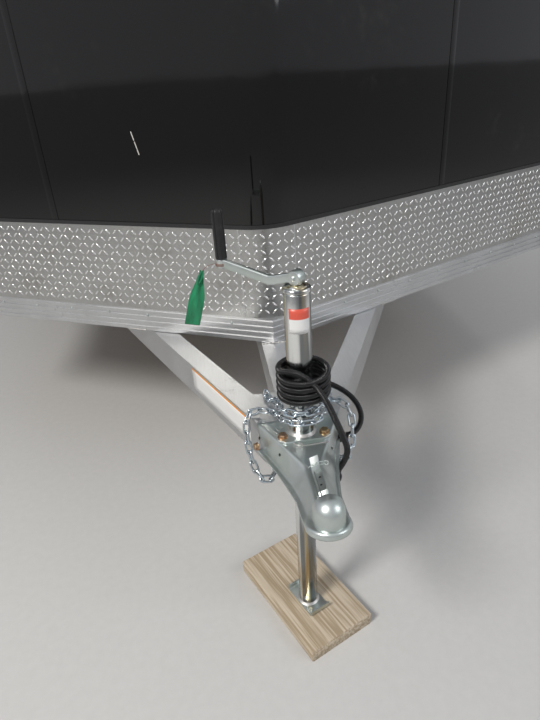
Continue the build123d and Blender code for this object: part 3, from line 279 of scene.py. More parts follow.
def hexagon_bolt(origin, axis, flat, height):
    """A washer and a hexagon head: rings of six corners at flat / 2 / cos 30, with a small chamfer."""
    corner, washer = flat / 2 / cos(pi / 6), flat * 0.68
    rows = [(0, washer), (height * 0.22, washer), (height * 0.3, flat * 0.62)]
    head = [(height * 0.25, corner), (height * 0.88, corner), (height, corner * 0.84)]
    return joined([turned(capped(rows), origin, axis, 28), turned(capped(head), origin, axis, 6)])


def screw_domes(places, axes, radius):
    """Small round heads: each a quarter-ellipse profile turned round the axis it faces along."""
    rise = np.linspace(0, pi / 2, 4)
    profile = np.column_stack([radius * 0.55 * np.sin(rise), radius * np.cos(rise)])
    return joined([turned([(0, 0), *profile], place, axis, 10) for place, axis in zip(places, axes)])


def smooth_step(value, low, high):
    """3 t^2 - 2 t^3 of the place of a value between two others, held to 0 and 1 outside them."""
    share = np.clip((np.asarray(value, float) - low) / (high - low), 0, 1)
    return share * share * (3 - 2 * share)


def make_piece(name, shape, body, slot, finish=None, sharp=32.0, uv=None, replaces=(), bevel=0.0, flip=False):
    """A mesh object of a shape: doubles merged, faces outward, riding on its body, in its slot's finish.

    Edges under the angle sharp are shaded round. flip leaves the faces of a thin sheet as they come.
    """
    points, faces = shape
    faces = [[int(corner) for corner in face] for face in faces]
    mesh = bpy.data.meshes.new(name)
    mesh.from_pydata(np.asarray(points, float).tolist(), [], faces)
    if uv is not None:
        corner = np.zeros(len(mesh.loops), np.int32)
        mesh.loops.foreach_get("vertex_index", corner)
        layer = mesh.uv_layers.new(name="UVMap")
        layer.data.foreach_set("uv", np.asarray(uv, np.float32).reshape(-1, 2)[corner].ravel())
    made = bmesh.new()
    made.from_mesh(mesh)
    bmesh.ops.remove_doubles(made, verts=made.verts, dist=TINY)
    if not flip:
        bmesh.ops.recalc_face_normals(made, faces=made.faces)
    made.to_mesh(mesh)
    made.free()
    mesh.polygons.foreach_set("use_smooth", np.ones(len(mesh.polygons), bool))
    mesh.set_sharp_from_angle(angle=radians(60 if bevel else sharp))
    piece = bpy.data.objects.new(name, mesh)
    bpy.context.scene.collection.objects.link(piece)
    piece.data.materials.append(finish or finish_of(slot))
    if bevel:
        edge = piece.modifiers.new("Rounded edges", "BEVEL")
        edge.width, edge.segments = bevel, 3
        edge.limit_method, edge.angle_limit = "ANGLE", radians(40)
    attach(piece, body)
    if replaces:
        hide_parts(*replaces)
    return piece


def thicken(piece, name, thickness, offset):
    """Gives a sheet its thickness, behind it at offset -1, in front of it at 1 and on both sides at 0."""
    skin = piece.modifiers.new(name, "SOLIDIFY")
    skin.thickness, skin.offset = thickness, offset


def weld(start, end, radius, steps=60, rough=1.0):
    """A bead in millimetres: start + (end - start) t + rough * (0.8 sin 60 t, 0.8 cos 47 t, 0.4 sin 90 t)."""
    t = np.linspace(0, 1, steps)[:, None]
    wave = np.hstack([0.8 * np.sin(60 * t), 0.8 * np.cos(47 * t), 0.4 * np.sin(90 * t)])
    start, end = np.asarray(start, float), np.asarray(end, float)
    return tube(at_jack(start + (end - start) * t + rough * wave), radius, 8)


# Finishes
class Wiring:
    """Short calls that add nodes to a material or a group and link them."""

    def __init__(self, tree):
        self.tree = tree

    def put(self, socket, value):
        """Links a socket to another node's output, or gives it a constant."""
        if isinstance(value, bpy.types.NodeSocket):
            self.tree.links.new(value, socket)
        else:
            socket.default_value = value

    def add(self, kind, inputs=None, **settings):
        """A node of one kind, with its settings and its inputs."""
        node = self.tree.nodes.new(kind)
        for name, value in settings.items():
            setattr(node, name, value)
        for name, value in (inputs or {}).items():
            self.put(node.inputs[name], value)
        return node

    def math(self, operation, first, second=0.0, clamp=False):
        """One operation on two numbers, kept between 0 and 1 where clamp says so."""
        inputs = {0: first, 1: second}
        return self.add("ShaderNodeMath", inputs, operation=operation, use_clamp=clamp).outputs[0]

    def vector(self, operation, first, second=(0.0, 0.0, 0.0)):
        """One operation on two vectors."""
        return self.add("ShaderNodeVectorMath", {0: first, 1: second}, operation=operation).outputs[0]

    def spread(self, value, low, high, out_low=0.0, out_high=1.0):
        """A value carried smoothly from low..high to out_low..out_high."""
        inputs = {"Value": value, "From Min": low, "From Max": high, "To Min": out_low, "To Max": out_high}
        return self.add("ShaderNodeMapRange", inputs, interpolation_type="SMOOTHSTEP").outputs[0]

    def noise(self, place, scale, detail=3.0, roughness=0.55):
        """Noise between 0 and 1 at a place, with its scale in cells to a metre."""
        inputs = {"Vector": place, "Scale": scale, "Detail": detail, "Roughness": roughness}
        return self.add("ShaderNodeTexNoise", inputs).outputs[0]

    def colour(self, share, first, second):
        """Two colours mixed: (1 - share) first + share second."""
        mix = self.add("ShaderNodeMix", {"Factor": share}, data_type="RGBA")
        for socket, value in ((mix.inputs[6], first), (mix.inputs[7], second)):
            self.put(socket, value if isinstance(value, bpy.types.NodeSocket) else (*value, 1.0))
        return mix.outputs[2]

    def effect(self, name, **inputs):
        """The outputs of one of the node groups, with its inputs named by words."""
        node = self.add("ShaderNodeGroup", node_tree=bpy.data.node_groups[name])
        for label, value in inputs.items():
            self.put(node.inputs[label.replace("_", " ")], value)
        return node.outputs


def make_effect(name, inputs, outputs, wire):
    """A node group: named inputs with their defaults, named outputs, and what wire() puts between them."""
    tree = bpy.data.node_groups.new(name, "ShaderNodeTree")
    for label, value in inputs.items():
        kind = "NodeSocketVector" if isinstance(value, tuple) else "NodeSocketFloat"
        tree.interface.new_socket(label, in_out="INPUT", socket_type=kind).default_value = value
    for label in outputs:
        tree.interface.new_socket(label, in_out="OUTPUT", socket_type="NodeSocketFloat")
    wiring = Wiring(tree)
    entry, leave = wiring.add("NodeGroupInput"), wiring.add("NodeGroupOutput")
    for label, value in wire(wiring, entry.outputs).items():
        tree.links.new(value, leave.inputs[label])


def wire_grime(w, given):
    """Two sizes of noise, held above a threshold, so that dirt lies in patches with fine grit in them."""
    patch = w.noise(given["Vector"], given["Scale"], 4.0)
    grit = w.noise(given["Vector"], w.math("MULTIPLY", given["Scale"], 14.0), 3.0)
    both = w.math("ADD", w.math("MULTIPLY", patch, 0.7), w.math("MULTIPLY", grit, 0.3))
    low = w.math("SUBTRACT", 0.72, w.math("MULTIPLY", given["Amount"], 0.4))
    return {"Mask": w.spread(both, low, w.math("ADD", low, 0.16)), "Grit": grit}


def wire_brushing(w, given):
    """Noise on coordinates that are pressed flat along the direction of the lines."""
    long = w.vector("MULTIPLY", given["Vector"], given["Stretch"])
    lines = w.noise(long, 260.0, 2.0)
    cloud = w.noise(given["Vector"], 7.0, 3.0)
    return {"Lines": lines, "Cloud": cloud}


def wire_grain(w, given):
    """Wood: growth rings and fine fibres, both noise that is pressed flat along the board to run straight."""
    ring_place = w.vector("MULTIPLY", given["Vector"], (1.0, 0.025, 0.7))
    ring = w.noise(ring_place, given["Scale"], 2.0, 0.7)
    fibre = w.noise(w.vector("MULTIPLY", given["Vector"], (1.0, 0.02, 1.0)), 700.0, 2.0)
    return {"Rings": w.spread(ring, 0.36, 0.62), "Fibre": fibre}


def wire_spangle(w, given):
    """Zinc: soft crystals from Voronoi cells, and slow clouds that turn the colour a little."""
    cells = w.add("ShaderNodeTexVoronoi", {"Vector": given["Vector"], "Scale": given["Scale"]}, feature="F1")
    value = w.add("ShaderNodeSeparateColor", {0: cells.outputs[1]}).outputs[0]
    return {"Cells": value, "Cloud": w.noise(given["Vector"], 16.0, 3.0)}


def wire_scratches(w, given):
    """Distance to a line between two points, less than the scratch's width, broken up by fine noise."""
    run = w.vector("SUBTRACT", given["End"], given["Start"])
    here = w.vector("SUBTRACT", given["Vector"], given["Start"])
    dots = [w.add("ShaderNodeVectorMath", {0: pair[0], 1: pair[1]}, operation="DOT_PRODUCT").outputs["Value"]
            for pair in ((here, run), (run, run))]
    share = w.math("DIVIDE", dots[0], dots[1], clamp=True)
    foot = w.add("ShaderNodeVectorMath", {0: run, "Scale": share}, operation="SCALE").outputs[0]
    away = w.vector("SUBTRACT", here, foot)
    gap = w.add("ShaderNodeVectorMath", {0: away}, operation="LENGTH").outputs["Value"]
    near = w.spread(gap, w.math("MULTIPLY", given["Width"], 0.4), given["Width"], 1.0, 0.0)
    broken = w.spread(w.noise(given["Vector"], 160.0, 2.0), 0.30, 0.45)
    return {"Mask": w.math("MULTIPLY", near, broken)}


# Each node group: its name, its inputs with their defaults, its outputs, and the function that wires it
ORIGIN = (0.0, 0.0, 0.0)
EFFECTS = [
    ("Grime", {"Vector": ORIGIN, "Scale": 3.0, "Amount": 0.3}, ["Mask", "Grit"], wire_grime),
    ("Brushing", {"Vector": ORIGIN, "Stretch": (1.0, 1.0, 1.0)}, ["Lines", "Cloud"], wire_brushing),
    ("Wood grain", {"Vector": ORIGIN, "Scale": 100.0}, ["Rings", "Fibre"], wire_grain),
    ("Zinc spangle", {"Vector": ORIGIN, "Scale": 220.0}, ["Cells", "Cloud"], wire_spangle),
    ("Scratch", {"Vector": ORIGIN, "Start": ORIGIN, "End": (0.0, 0.0, 1.0), "Width": 0.001},
     ["Mask"], wire_scratches),
]


class Finish:
    """A material being made: its wiring, its object coordinates and its shader."""

    def __init__(self, name, **constants):
        self.material = bpy.data.materials.new(name)
        self.material.use_nodes = True
        self.w = Wiring(self.material.node_tree)
        self.shader = self.material.node_tree.nodes["Principled BSDF"]
        coordinates = self.w.add("ShaderNodeTexCoord")
        self.place, self.uv = coordinates.outputs["Object"], coordinates.outputs["UV"]
        for label, value in constants.items():
            self.shader.inputs[label.replace("_", " ")].default_value = value

    def feed(self, label, value):
        """Links an output to one of the shader's inputs."""
        self.w.tree.links.new(value, self.shader.inputs[label])

    def bump(self, height, distance, strength=1.0):
        """Bumps the shading by a height from 0 to 1 over a distance in metres."""
        inputs = {"Height": height, "Distance": distance, "Strength": strength}
        self.feed("Normal", self.w.add("ShaderNodeBump", inputs).outputs[0])


def metal_finish(name, colour, dark, roughness, stretch, grime, grime_scale):
    """Bare metal: brushed lines, slow clouds in the gloss, and dull patches of dirt."""
    made = Finish(name, Metallic=1.0)
    w = made.w
    brushed = w.effect("Brushing", Vector=made.place, Stretch=stretch)
    dirt = w.effect("Grime", Vector=made.place, Scale=grime_scale, Amount=grime)
    tone = w.math("ADD", w.math("MULTIPLY", brushed["Lines"], 0.5), w.math("MULTIPLY", brushed["Cloud"], 0.5))
    soiled = w.math("MULTIPLY", dirt["Mask"], 0.55)
    clean = w.colour(w.spread(tone, 0.3, 0.7), tuple(c * 0.86 for c in colour), colour)
    made.feed("Base Color", w.colour(soiled, clean, dark))
    gloss = w.spread(tone, 0.25, 0.75, roughness - 0.07, roughness + 0.08)
    made.feed("Roughness", w.math("ADD", gloss, w.math("MULTIPLY", dirt["Mask"], 0.25)))
    made.bump(brushed["Lines"], 0.00006, 0.6)
    return made.material


def tread_plate():
    """The ground of bright tread plate: grey sheet with slow waves in it and patches of dust, coloured far
    darker than its lugs as painted shade between them.
    """
    made = Finish("Tread plate", Metallic=1.0)
    w = made.w
    dirt = w.effect("Grime", Vector=made.place, Scale=6.0, Amount=0.5)
    fine = w.noise(made.place, 260.0, 2.0)
    # Painted shade: the sheet is coloured 0.36 to 0.50, while its lugs of the same metal are coloured 0.92.
    sheet = w.colour(fine, (0.36, 0.36, 0.355), (0.50, 0.50, 0.49))
    made.feed("Base Color", w.colour(w.math("MULTIPLY", dirt["Mask"], 0.5), sheet, (0.30, 0.28, 0.24)))
    gloss = w.spread(fine, 0.2, 0.8, 0.26, 0.34)
    made.feed("Roughness", w.math("ADD", gloss, w.math("MULTIPLY", dirt["Mask"], 0.2)))
    made.bump(w.noise(made.place, 9.0, 2.0), 0.0028)
    return made.material


def black_panel():
    """Gloss black skin: slow waves in the sheet, run-down dust and one bright scratch on the nose."""
    made = Finish("Black panel", Coat_Weight=0.25, Coat_Roughness=0.03, Specular_IOR_Level=0.32)
    w = made.w
    upright = w.vector("MULTIPLY", made.place, (1.0, 1.0, 0.12))
    runs = w.effect("Grime", Vector=upright, Scale=9.0, Amount=0.22)
    dust = w.effect("Grime", Vector=made.place, Scale=2.2, Amount=0.34)
    start, end, width = SCRATCH
    scratch = w.effect("Scratch", Vector=made.place, Start=tuple(start), End=tuple(end), Width=width)
    run_share, dust_share = w.math("MULTIPLY", runs["Mask"], 0.5), w.math("MULTIPLY", dust["Mask"], 0.6)
    film = w.math("ADD", run_share, dust_share, clamp=True)
    skin = w.colour(film, looks().panel_colour, (0.020, 0.019, 0.018))
    made.feed("Base Color", w.colour(scratch["Mask"], skin, (0.6, 0.58, 0.55)))
    made.feed("Roughness", w.spread(film, 0.0, 1.0, 0.06, 0.34))
    made.bump(w.noise(made.place, 2.4, 1.0), 0.004, 0.5)
    return made.material


def painted(name, colour, worn, roughness, coat, grime, scale, orange_peel=0.0001):
    """Paint or gel coat: fine orange peel, patches of dirt and a gloss that varies with them."""
    made = Finish(name, Coat_Weight=coat, Coat_Roughness=0.2)
    w = made.w
    dirt = w.effect("Grime", Vector=made.place, Scale=scale, Amount=grime)
    clean = w.colour(dirt["Grit"], tuple(c * 0.94 for c in colour), colour)
    made.feed("Base Color", w.colour(dirt["Mask"], clean, worn))
    both = w.math("ADD", dirt["Mask"], w.math("MULTIPLY", dirt["Grit"], 0.3))
    made.feed("Roughness", w.spread(both, 0.0, 1.3, roughness - 0.05, roughness + 0.25))
    made.bump(dirt["Grit"], orange_peel, 0.6)
    return made.material


def wood_finish(name, pale, dark, turn, scale, bump_size):
    """Sawn wood whose grain runs along one direction: growth rings, fibres and grey weathering."""
    made = Finish(name, Specular_IOR_Level=0.3)
    w = made.w
    settings = {"Vector": made.place, "Location": (0.02, 0.0, -0.11), "Rotation": (0.0, 0.0, turn)}
    turned_place = w.add("ShaderNodeMapping", settings, vector_type="POINT").outputs[0]
    grain = w.effect("Wood grain", Vector=turned_place, Scale=scale)
    dirt = w.effect("Grime", Vector=made.place, Scale=14.0, Amount=0.28)
    tone = w.math("ADD", w.math("MULTIPLY", grain["Rings"], 0.55), w.math("MULTIPLY", grain["Fibre"], 0.45))
    wood = w.colour(w.spread(tone, 0.25, 0.8), pale, dark)
    made.feed("Base Color", w.colour(w.math("MULTIPLY", dirt["Mask"], 0.6), wood, (0.20, 0.18, 0.15)))
    made.feed("Roughness", w.spread(tone, 0.2, 0.8, 0.62, 0.82))
    made.bump(tone, bump_size, 0.8)
    return made.material


def zinc_finish(name, bright, cast, roughness, scale, grime):
    """Zinc plate: crystals, a slow cast of a second colour, dull dirt and a fine unevenness."""
    made = Finish(name, Metallic=1.0)
    w = made.w
    zinc = w.effect("Zinc spangle", Vector=made.place, Scale=scale)
    dirt = w.effect("Grime", Vector=made.place, Scale=18.0, Amount=grime)
    plated = w.colour(w.spread(zinc["Cloud"], 0.35, 0.65), bright, cast)
    made.feed("Base Color", w.colour(w.math("MULTIPLY", dirt["Mask"], 0.16), plated, (0.24, 0.23, 0.21)))
    gloss = w.math("ADD", w.math("MULTIPLY", zinc["Cells"], 0.04), w.math("MULTIPLY", dirt["Mask"], 0.15))
    made.feed("Roughness", w.math("ADD", gloss, roughness))
    made.bump(w.math("ADD", zinc["Cloud"], w.math("MULTIPLY", dirt["Grit"], 0.1)), 0.0003, 0.4)
    return made.material


def bright_tube():
    """Bright zinc tube: drawn lines down it, and broad upright bands painted from dark grey to bright and to
    yellow as painted reflections.
    """
    made = Finish("Bright zinc tube with painted reflections", Metallic=1.0)
    w = made.w
    drawn = w.effect("Brushing", Vector=made.place, Stretch=(1.0, 1.0, 0.02))
    dirt = w.effect("Grime", Vector=made.place, Scale=16.0, Amount=0.2)
    # Painted reflections: upright noise bands turn the base colour from dark grey to bright, and some of them
    # yellow, for the surroundings mirrored in the tube.
    painted_reflection_bands = w.noise(w.vector("MULTIPLY", made.place, (1.0, 1.0, 0.03)), 46.0, 1.0)
    other = w.noise(w.vector("MULTIPLY", made.place, (1.0, 1.0, 0.02)), 44.0, 0.0)
    zinc = w.colour(w.spread(painted_reflection_bands, 0.44, 0.56), (0.22, 0.23, 0.23), (0.78, 0.79, 0.78))
    cast = w.colour(w.math("MULTIPLY", w.spread(other, 0.48, 0.58), 0.75), zinc, (0.62, 0.50, 0.30))
    made.feed("Base Color", w.colour(w.math("MULTIPLY", dirt["Mask"], 0.4), cast, (0.22, 0.20, 0.16)))
    made.feed("Roughness", w.spread(drawn["Lines"], 0.25, 0.75, 0.13, 0.24))
    made.bump(drawn["Lines"], 0.00004, 0.5)
    return made.material


def rubber(name, colour, roughness, scale, bump_size):
    """Rubber: a matt black with dust in its fine pores."""
    made = Finish(name, Specular_IOR_Level=0.4)
    w = made.w
    dirt = w.effect("Grime", Vector=made.place, Scale=scale, Amount=0.3)
    made.feed("Base Color", w.colour(w.math("MULTIPLY", dirt["Mask"], 0.7), colour, (0.10, 0.095, 0.085)))
    made.feed("Roughness", w.spread(dirt["Grit"], 0.2, 0.8, roughness - 0.08, roughness + 0.1))
    made.bump(dirt["Grit"], bump_size, 0.7)
    return made.material


def ribbon():
    """Thin flagging tape: fine crossed threads on its own UV, creases that are also painted darker as painted
    shade, and a faint sheen.
    """
    made = Finish("Green tape", Sheen_Weight=0.1, Specular_IOR_Level=0.5)
    w = made.w
    threads = w.noise(w.vector("MULTIPLY", made.uv, (900.0, 160.0, 1.0)), 1.0, 2.0)
    crease = w.noise(w.vector("MULTIPLY", made.uv, (60.0, 14.0, 1.0)), 1.0, 3.0)
    bright = looks().tape_colour
    # Painted shade: the crease noise mixes the tape's colour down to half of itself in the folds.
    made.feed("Base Color", w.colour(w.spread(crease, 0.3, 0.7), tuple(0.5 * c for c in bright), bright))
    made.feed("Roughness", w.spread(threads, 0.3, 0.7, 0.30, 0.46))
    made.bump(w.math("ADD", crease, w.math("MULTIPLY", threads, 0.15)), 0.0006, 0.8)
    return made.material


def lens(name, colour, deep):
    """A moulded lens: fine prism lines across it and a clear coat."""
    made = Finish(name, Coat_Weight=1.0, Coat_Roughness=0.05)
    w = made.w
    prism = w.add("ShaderNodeTexWave", {"Vector": made.place, "Scale": 55.0}, bands_direction="Z").outputs[1]
    dirt = w.effect("Grime", Vector=made.place, Scale=25.0, Amount=0.2)
    made.feed("Base Color", w.colour(prism, deep, colour))
    made.feed("Roughness", w.spread(dirt["Mask"], 0.0, 1.0, 0.18, 0.5))
    made.bump(prism, 0.0008, 0.7)
    return made.material


def label_paper(name, paper, stripe, edge, from_top):
    """A blank label on its UV: plain paper with one coloured band at its top edge, scuffed by fine noise."""
    made = Finish(name, Coat_Weight=0.4, Coat_Roughness=0.25)
    w = made.w
    height = w.add("ShaderNodeSeparateXYZ", {0: made.uv}).outputs[1]
    banded = w.spread(height, 1.0 - from_top - edge, 1.0 - from_top + edge)
    scuff = w.effect("Grime", Vector=made.place, Scale=60.0, Amount=0.3)
    clean = w.colour(banded, paper, stripe)
    made.feed("Base Color", w.colour(w.math("MULTIPLY", scuff["Mask"], 0.45), clean, (0.55, 0.55, 0.53)))
    made.feed("Roughness", w.spread(scuff["Grit"], 0.2, 0.8, 0.30, 0.46))
    made.bump(scuff["Grit"], 0.0001, 0.5)
    return made.material


# Each finish: the slot or detail, the function that makes it, and the values that it takes, in order
FINISH_TABLE = {
    "mill_aluminium": (metal_finish, "Mill aluminium", (0.60, 0.605, 0.61), (0.24, 0.23, 0.21), 0.42,
                       (1.0, 0.05, 1.0), 0.32, 7.0),
    "tread_plate": (tread_plate,),
    # Painted highlight: the lugs are coloured far brighter than the sheet they are pressed from, as lit tops.
    "tread_lugs": (metal_finish, "Tread lugs painted highlight", (0.92, 0.92, 0.91), (0.42, 0.40, 0.36), 0.18,
                   (1.0, 1.0, 1.0), 0.2, 9.0),
    "weld_finish": (metal_finish, "Weld bead", (0.58, 0.57, 0.55), (0.16, 0.15, 0.14), 0.42,
                    (1.0, 1.0, 1.0), 0.45, 40.0),
    "black_panel": (black_panel,),
    "roof_skin": (painted, "Roof skin", (0.74, 0.75, 0.75), (0.40, 0.39, 0.36), 0.42, 0.15, 0.3, 2.5),
    "vent_plastic": (painted, "Vent plastic", (0.76, 0.76, 0.73), (0.48, 0.46, 0.41), 0.48, 0.0, 0.25, 9.0),
    "wheel_paint": (painted, "Wheel paint", (0.62, 0.63, 0.64), (0.22, 0.20, 0.18), 0.38, 0.5, 0.3, 14.0),
    "black_steel": (painted, "Black steel", (0.022, 0.022, 0.023), (0.16, 0.085, 0.045), 0.45,
                    0.2, 0.3, 24.0, 0.0003),
    "black_plastic": (painted, "Black plastic", (0.017, 0.017, 0.018), (0.07, 0.065, 0.06), 0.42,
                      0.0, 0.25, 20.0, 0.0002),
    "thread_finish": (painted, "Tie thread", (0.20, 0.09, 0.06), (0.10, 0.07, 0.05), 0.6, 0.0, 0.3, 80.0),
    "pine": (wood_finish, "Pine board", (0.62, 0.53, 0.41), (0.40, 0.31, 0.21), radians(-BOARD_TURN),
             130.0, 0.0006),
    "plywood": (wood_finish, "Floor plywood", (0.50, 0.36, 0.20), (0.33, 0.22, 0.12), 0.0, 30.0, 0.0004),
    "zinc_steel": (zinc_finish, "Zinc plated steel", (0.62, 0.66, 0.65), (0.54, 0.60, 0.57), 0.34,
                   240.0, 0.2),
    "yellow_zinc": (zinc_finish, "Yellow zinc bolt", (0.46, 0.29, 0.19), (0.40, 0.29, 0.15), 0.27,
                    300.0, 0.45),
    "chain_steel": (zinc_finish, "Zinc chain", (0.58, 0.66, 0.72), (0.52, 0.56, 0.58), 0.18, 300.0, 0.2),
    "bright_tube": (bright_tube,),
    "black_rubber": (rubber, "Black rubber", (0.014, 0.014, 0.015), 0.42, 30.0, 0.0002),
    "tyre_rubber": (rubber, "Tyre rubber", (0.021, 0.021, 0.021), 0.7, 9.0, 0.0005),
    "loom_plastic": (rubber, "Loom plastic", (0.007, 0.007, 0.008), 0.17, 40.0, 0.0001),
    "ribbon": (ribbon,),
    "red_lens": (lens, "Red lens", (0.50, 0.008, 0.008), (0.24, 0.003, 0.003)),
    "amber_lens": (lens, "Amber lens", (0.85, 0.30, 0.012), (0.55, 0.15, 0.004)),
    "rail_label": (label_paper, "Rail label", (0.80, 0.80, 0.79), (0.85, 0.33, 0.03), 0.004, 0.075),
    "tube_label": (label_paper, "Tube label", (0.82, 0.82, 0.81), (0.72, 0.10, 0.06), 0.01, 0.42),
}
FINISHES = {}


def finish_of(slot):
    """The material of a slot or a detail, made the first time that it is asked for."""
    if slot not in FINISHES:
        maker, *values = FINISH_TABLE[slot]
        FINISHES[slot] = maker(*values)
    return FINISHES[slot]


# Pieces of the nose
def nose_plan(inset):
    """The nose in plan from the curb side's shoulder to the driver's, and how far along each point lies.

    It is straight, arc, straight. A straight point is (d sin a - i cos a, NOSE_Y + d cos a + i sin a) for the
    nose angle a and inset i. The arc has the rounded corner's radius less the inset, about a centre on the
    middle plane.
    """
    sine, cosine = sin(NOSE_ANGLE), cos(NOSE_ANGLE)
    outer = CORNER_TANGENT * tan(NOSE_ANGLE)
    tangent = (outer + SKIN_INSET) / tan(NOSE_ANGLE)
    shoulder = (HALF - inset + inset * cosine) / sine
    far = np.linspace(shoulder, tangent, 24)
    straight = np.column_stack([far * sine - inset * cosine, NOSE_Y + far * cosine + inset * sine])
    radius, centre = outer + SKIN_INSET - inset, NOSE_Y + (outer + SKIN_INSET) / sine
    turn = np.linspace(pi / 2 - NOSE_ANGLE, NOSE_ANGLE - pi / 2, 25)[1:-1]
    arc = np.column_stack([radius * np.sin(turn), centre - radius * np.cos(turn)])
    plan = np.concatenate([straight, arc, straight[::-1] * (-1, 1)])[::-1]
    along = lengths_along(plan)
    return plan, along - along[-1] / 2


def wall_band(low, high, near, far):
    """A sheet that follows the nose between two heights: plan(inset) carried straight up and closed."""
    outer, along = nose_plan(near)
    inner, _ = nose_plan(far)
    count = len(outer)
    heights = np.array([low, high, high, low])
    plans = zip((outer, outer, inner, inner), heights)
    ring = np.stack([np.column_stack([plan, np.full(count, z)]) for plan, z in plans])
    first, last = [[row * count + column for row in range(len(heights))] for column in (0, count - 1)]
    faces = grid_faces(len(heights), count, close_rows=True).tolist() + [first, last[::-1]]
    uv = np.stack(np.broadcast_arrays(along[None, :], heights[:, None]), axis=-1)
    return (ring.reshape(-1, 3), faces), uv.reshape(-1, 2)


def on_nose(side, distance, inset, z):
    """A place on a nose wall: side is 1 for the driver's wall, distance runs back from the tip along it."""
    sine, cosine = sin(NOSE_ANGLE), cos(NOSE_ANGLE)
    return np.array([side * (distance * sine - inset * cosine), NOSE_Y + distance * cosine + inset * sine, z])


def nose_facing(side):
    """The way that a nose wall faces: (side cos a, -sin a, 0)."""
    return np.array([side * cos(NOSE_ANGLE), -sin(NOSE_ANGLE), 0.0])


def wall_strip(side, distance, width, low, high, proud=0.0015):
    """A thin upright strip on a nose wall, over a joint between two skins."""
    along = np.array([side * sin(NOSE_ANGLE), cos(NOSE_ANGLE), 0.0])
    path = np.array([on_nose(side, distance, SKIN_INSET, z) for z in (low, high)])
    return band(path, along, nose_facing(side), rounded_section(width, proud * 2, proud * 0.45, 2))


# One lug: half its length and width as shares of the cell, and the rings of its dome as (share, height)
LUG_HALF = 0.44, 0.125
LUG_RINGS = np.array([(0.0, -0.0004), (1.0, -0.0004), (0.90, 0.0007), (0.55, 0.00135), (0.0, 0.0015)])
LUG_AROUND = 10


def lug_shells(inset, low, high):
    """Raised lugs on the sheet, one to a square cell, which lean to the left and the right by turns.

    In the sheet's plane a lug's ring is centre + s (A cos t) e + s (B sin t) f, where e and f are the plane's
    axes turned by 45 or -45 degrees. s and the ring's height are a row of LUG_RINGS. The plane is then bent
    round the nose: place(u) + height * outward(u), with u along the plan.
    """
    plan, along = nose_plan(inset)
    heading = unit(np.gradient(plan, along, axis=0))
    outward = np.column_stack([heading[:, 1], -heading[:, 0]])
    outward *= -np.sign(outward[:, 1:])
    cell = looks().tread_cell
    wide, tall = int((along[-1] - along[0]) / cell), int((high - low) / cell)
    columns, rows = np.arange(wide - 1) - wide // 2 + 1, np.arange(tall)
    column, row = [grid.ravel()[:, None, None] for grid in np.meshgrid(columns, rows, indexing="ij")]
    lean = np.where((column + row) % 2 == 0, 1.0, -1.0)
    share, height = LUG_RINGS[:, :1], LUG_RINGS[None, :, 1:]
    t = np.linspace(0, 2 * pi, LUG_AROUND, endpoint=False)
    a, b = share * LUG_HALF[0] * cell * np.cos(t), share * LUG_HALF[1] * cell * np.sin(t)
    u = (column + 0.5) * cell + (a - b * lean) / np.sqrt(2)
    v = (low + high - tall * cell) / 2 + (row + 0.5) * cell + (a * lean + b) / np.sqrt(2)
    plane = [np.interp(u, along, on_plan) + height * np.interp(u, along, way)
             for on_plan, way in zip(plan.T, outward.T)]
    one = grid_faces(len(LUG_RINGS), LUG_AROUND, close_columns=True)
    start = np.arange(wide * tall - tall)[:, None, None] * len(LUG_RINGS) * LUG_AROUND
    return np.stack([*plane, v], axis=-1).reshape(-1, 3), (one[None] + start).reshape(-1, 4)


def make_stone_guard():
    """The tread sheet and its lugs, the trim over them, and a seam near the tip on each side."""
    front = SKIN_INSET - GUARD_PROUD
    shape, uv = wall_band(FLOOR_Z, GUARD_TOP, front, SKIN_INSET)
    make_piece("nose_tread_sheet", shape, "trailer", "tread_plate", uv=uv, replaces=["stone_guard"], sharp=50)
    lugs = lug_shells(front, FLOOR_Z + 0.003, GUARD_TOP - 0.003)
    # The lugs take the bright lug finish, a painted highlight on their tops.
    make_piece("nose_tread_lugs", lugs, "trailer", "tread_plate", finish_of("tread_lugs"), sharp=50)
    shape, _ = wall_band(GUARD_TOP - 0.0005, TRIM_TOP, front - 0.0015, SKIN_INSET)
    make_piece("nose_guard_top_trim", shape, "trailer", "black_plastic", sharp=50)
    strips = [wall_strip(side, distance, 0.005, FLOOR_Z + 0.002, GUARD_TOP - 0.002, 0.0042)
              for side, distance in ((1, 0.097), (-1, 0.092))]
    make_piece("nose_guard_seams", joined(strips), "trailer", "mill_aluminium", sharp=40)


def nose_screws(name, start, end, inset, z, radius):
    """Round heads a pitch apart along both nose walls, from start to end behind the tip."""
    distances = np.arange(start, end, looks().screw_pitch)
    places = [on_nose(side, distance, inset, z) for side in (1, -1) for distance in distances]
    axes = [nose_facing(side) for side in (1, -1) for _ in distances]
    make_piece(name, screw_domes(places, axes, radius), "trailer", "zinc_steel", sharp=50)


def make_nose_details():
    """The rounded corner's cover, as the plan's middle between two insets, the panel joints and the screws."""
    outer, along = nose_plan(SKIN_INSET - 0.0012)
    inner, _ = nose_plan(SKIN_INSET + 0.002)
    keep = np.abs(along) < 0.092
    cover = plate(np.concatenate([outer[keep], inner[keep][::-1]]), TRIM_TOP, SKIN_TOP)
    make_piece("nose_corner_cover", cover, "trailer", "black_panel", sharp=40)
    seams = [wall_strip(side, 0.730, 0.024, TRIM_TOP, SKIN_TOP) for side in (-1, 1)]
    make_piece("nose_panel_joints", joined(seams), "trailer", "black_panel", sharp=40)
    nose_screws("front_rail_screws", 0.14, 1.36, 0.0036, FRAME_Z + 0.057, 0.0052)


# The scratch on the nose's skin: its two ends and its width
SCRATCH = on_nose(-1, 0.395, SKIN_INSET, 1.238), on_nose(-1, 0.380, SKIN_INSET, 1.178), 0.0022


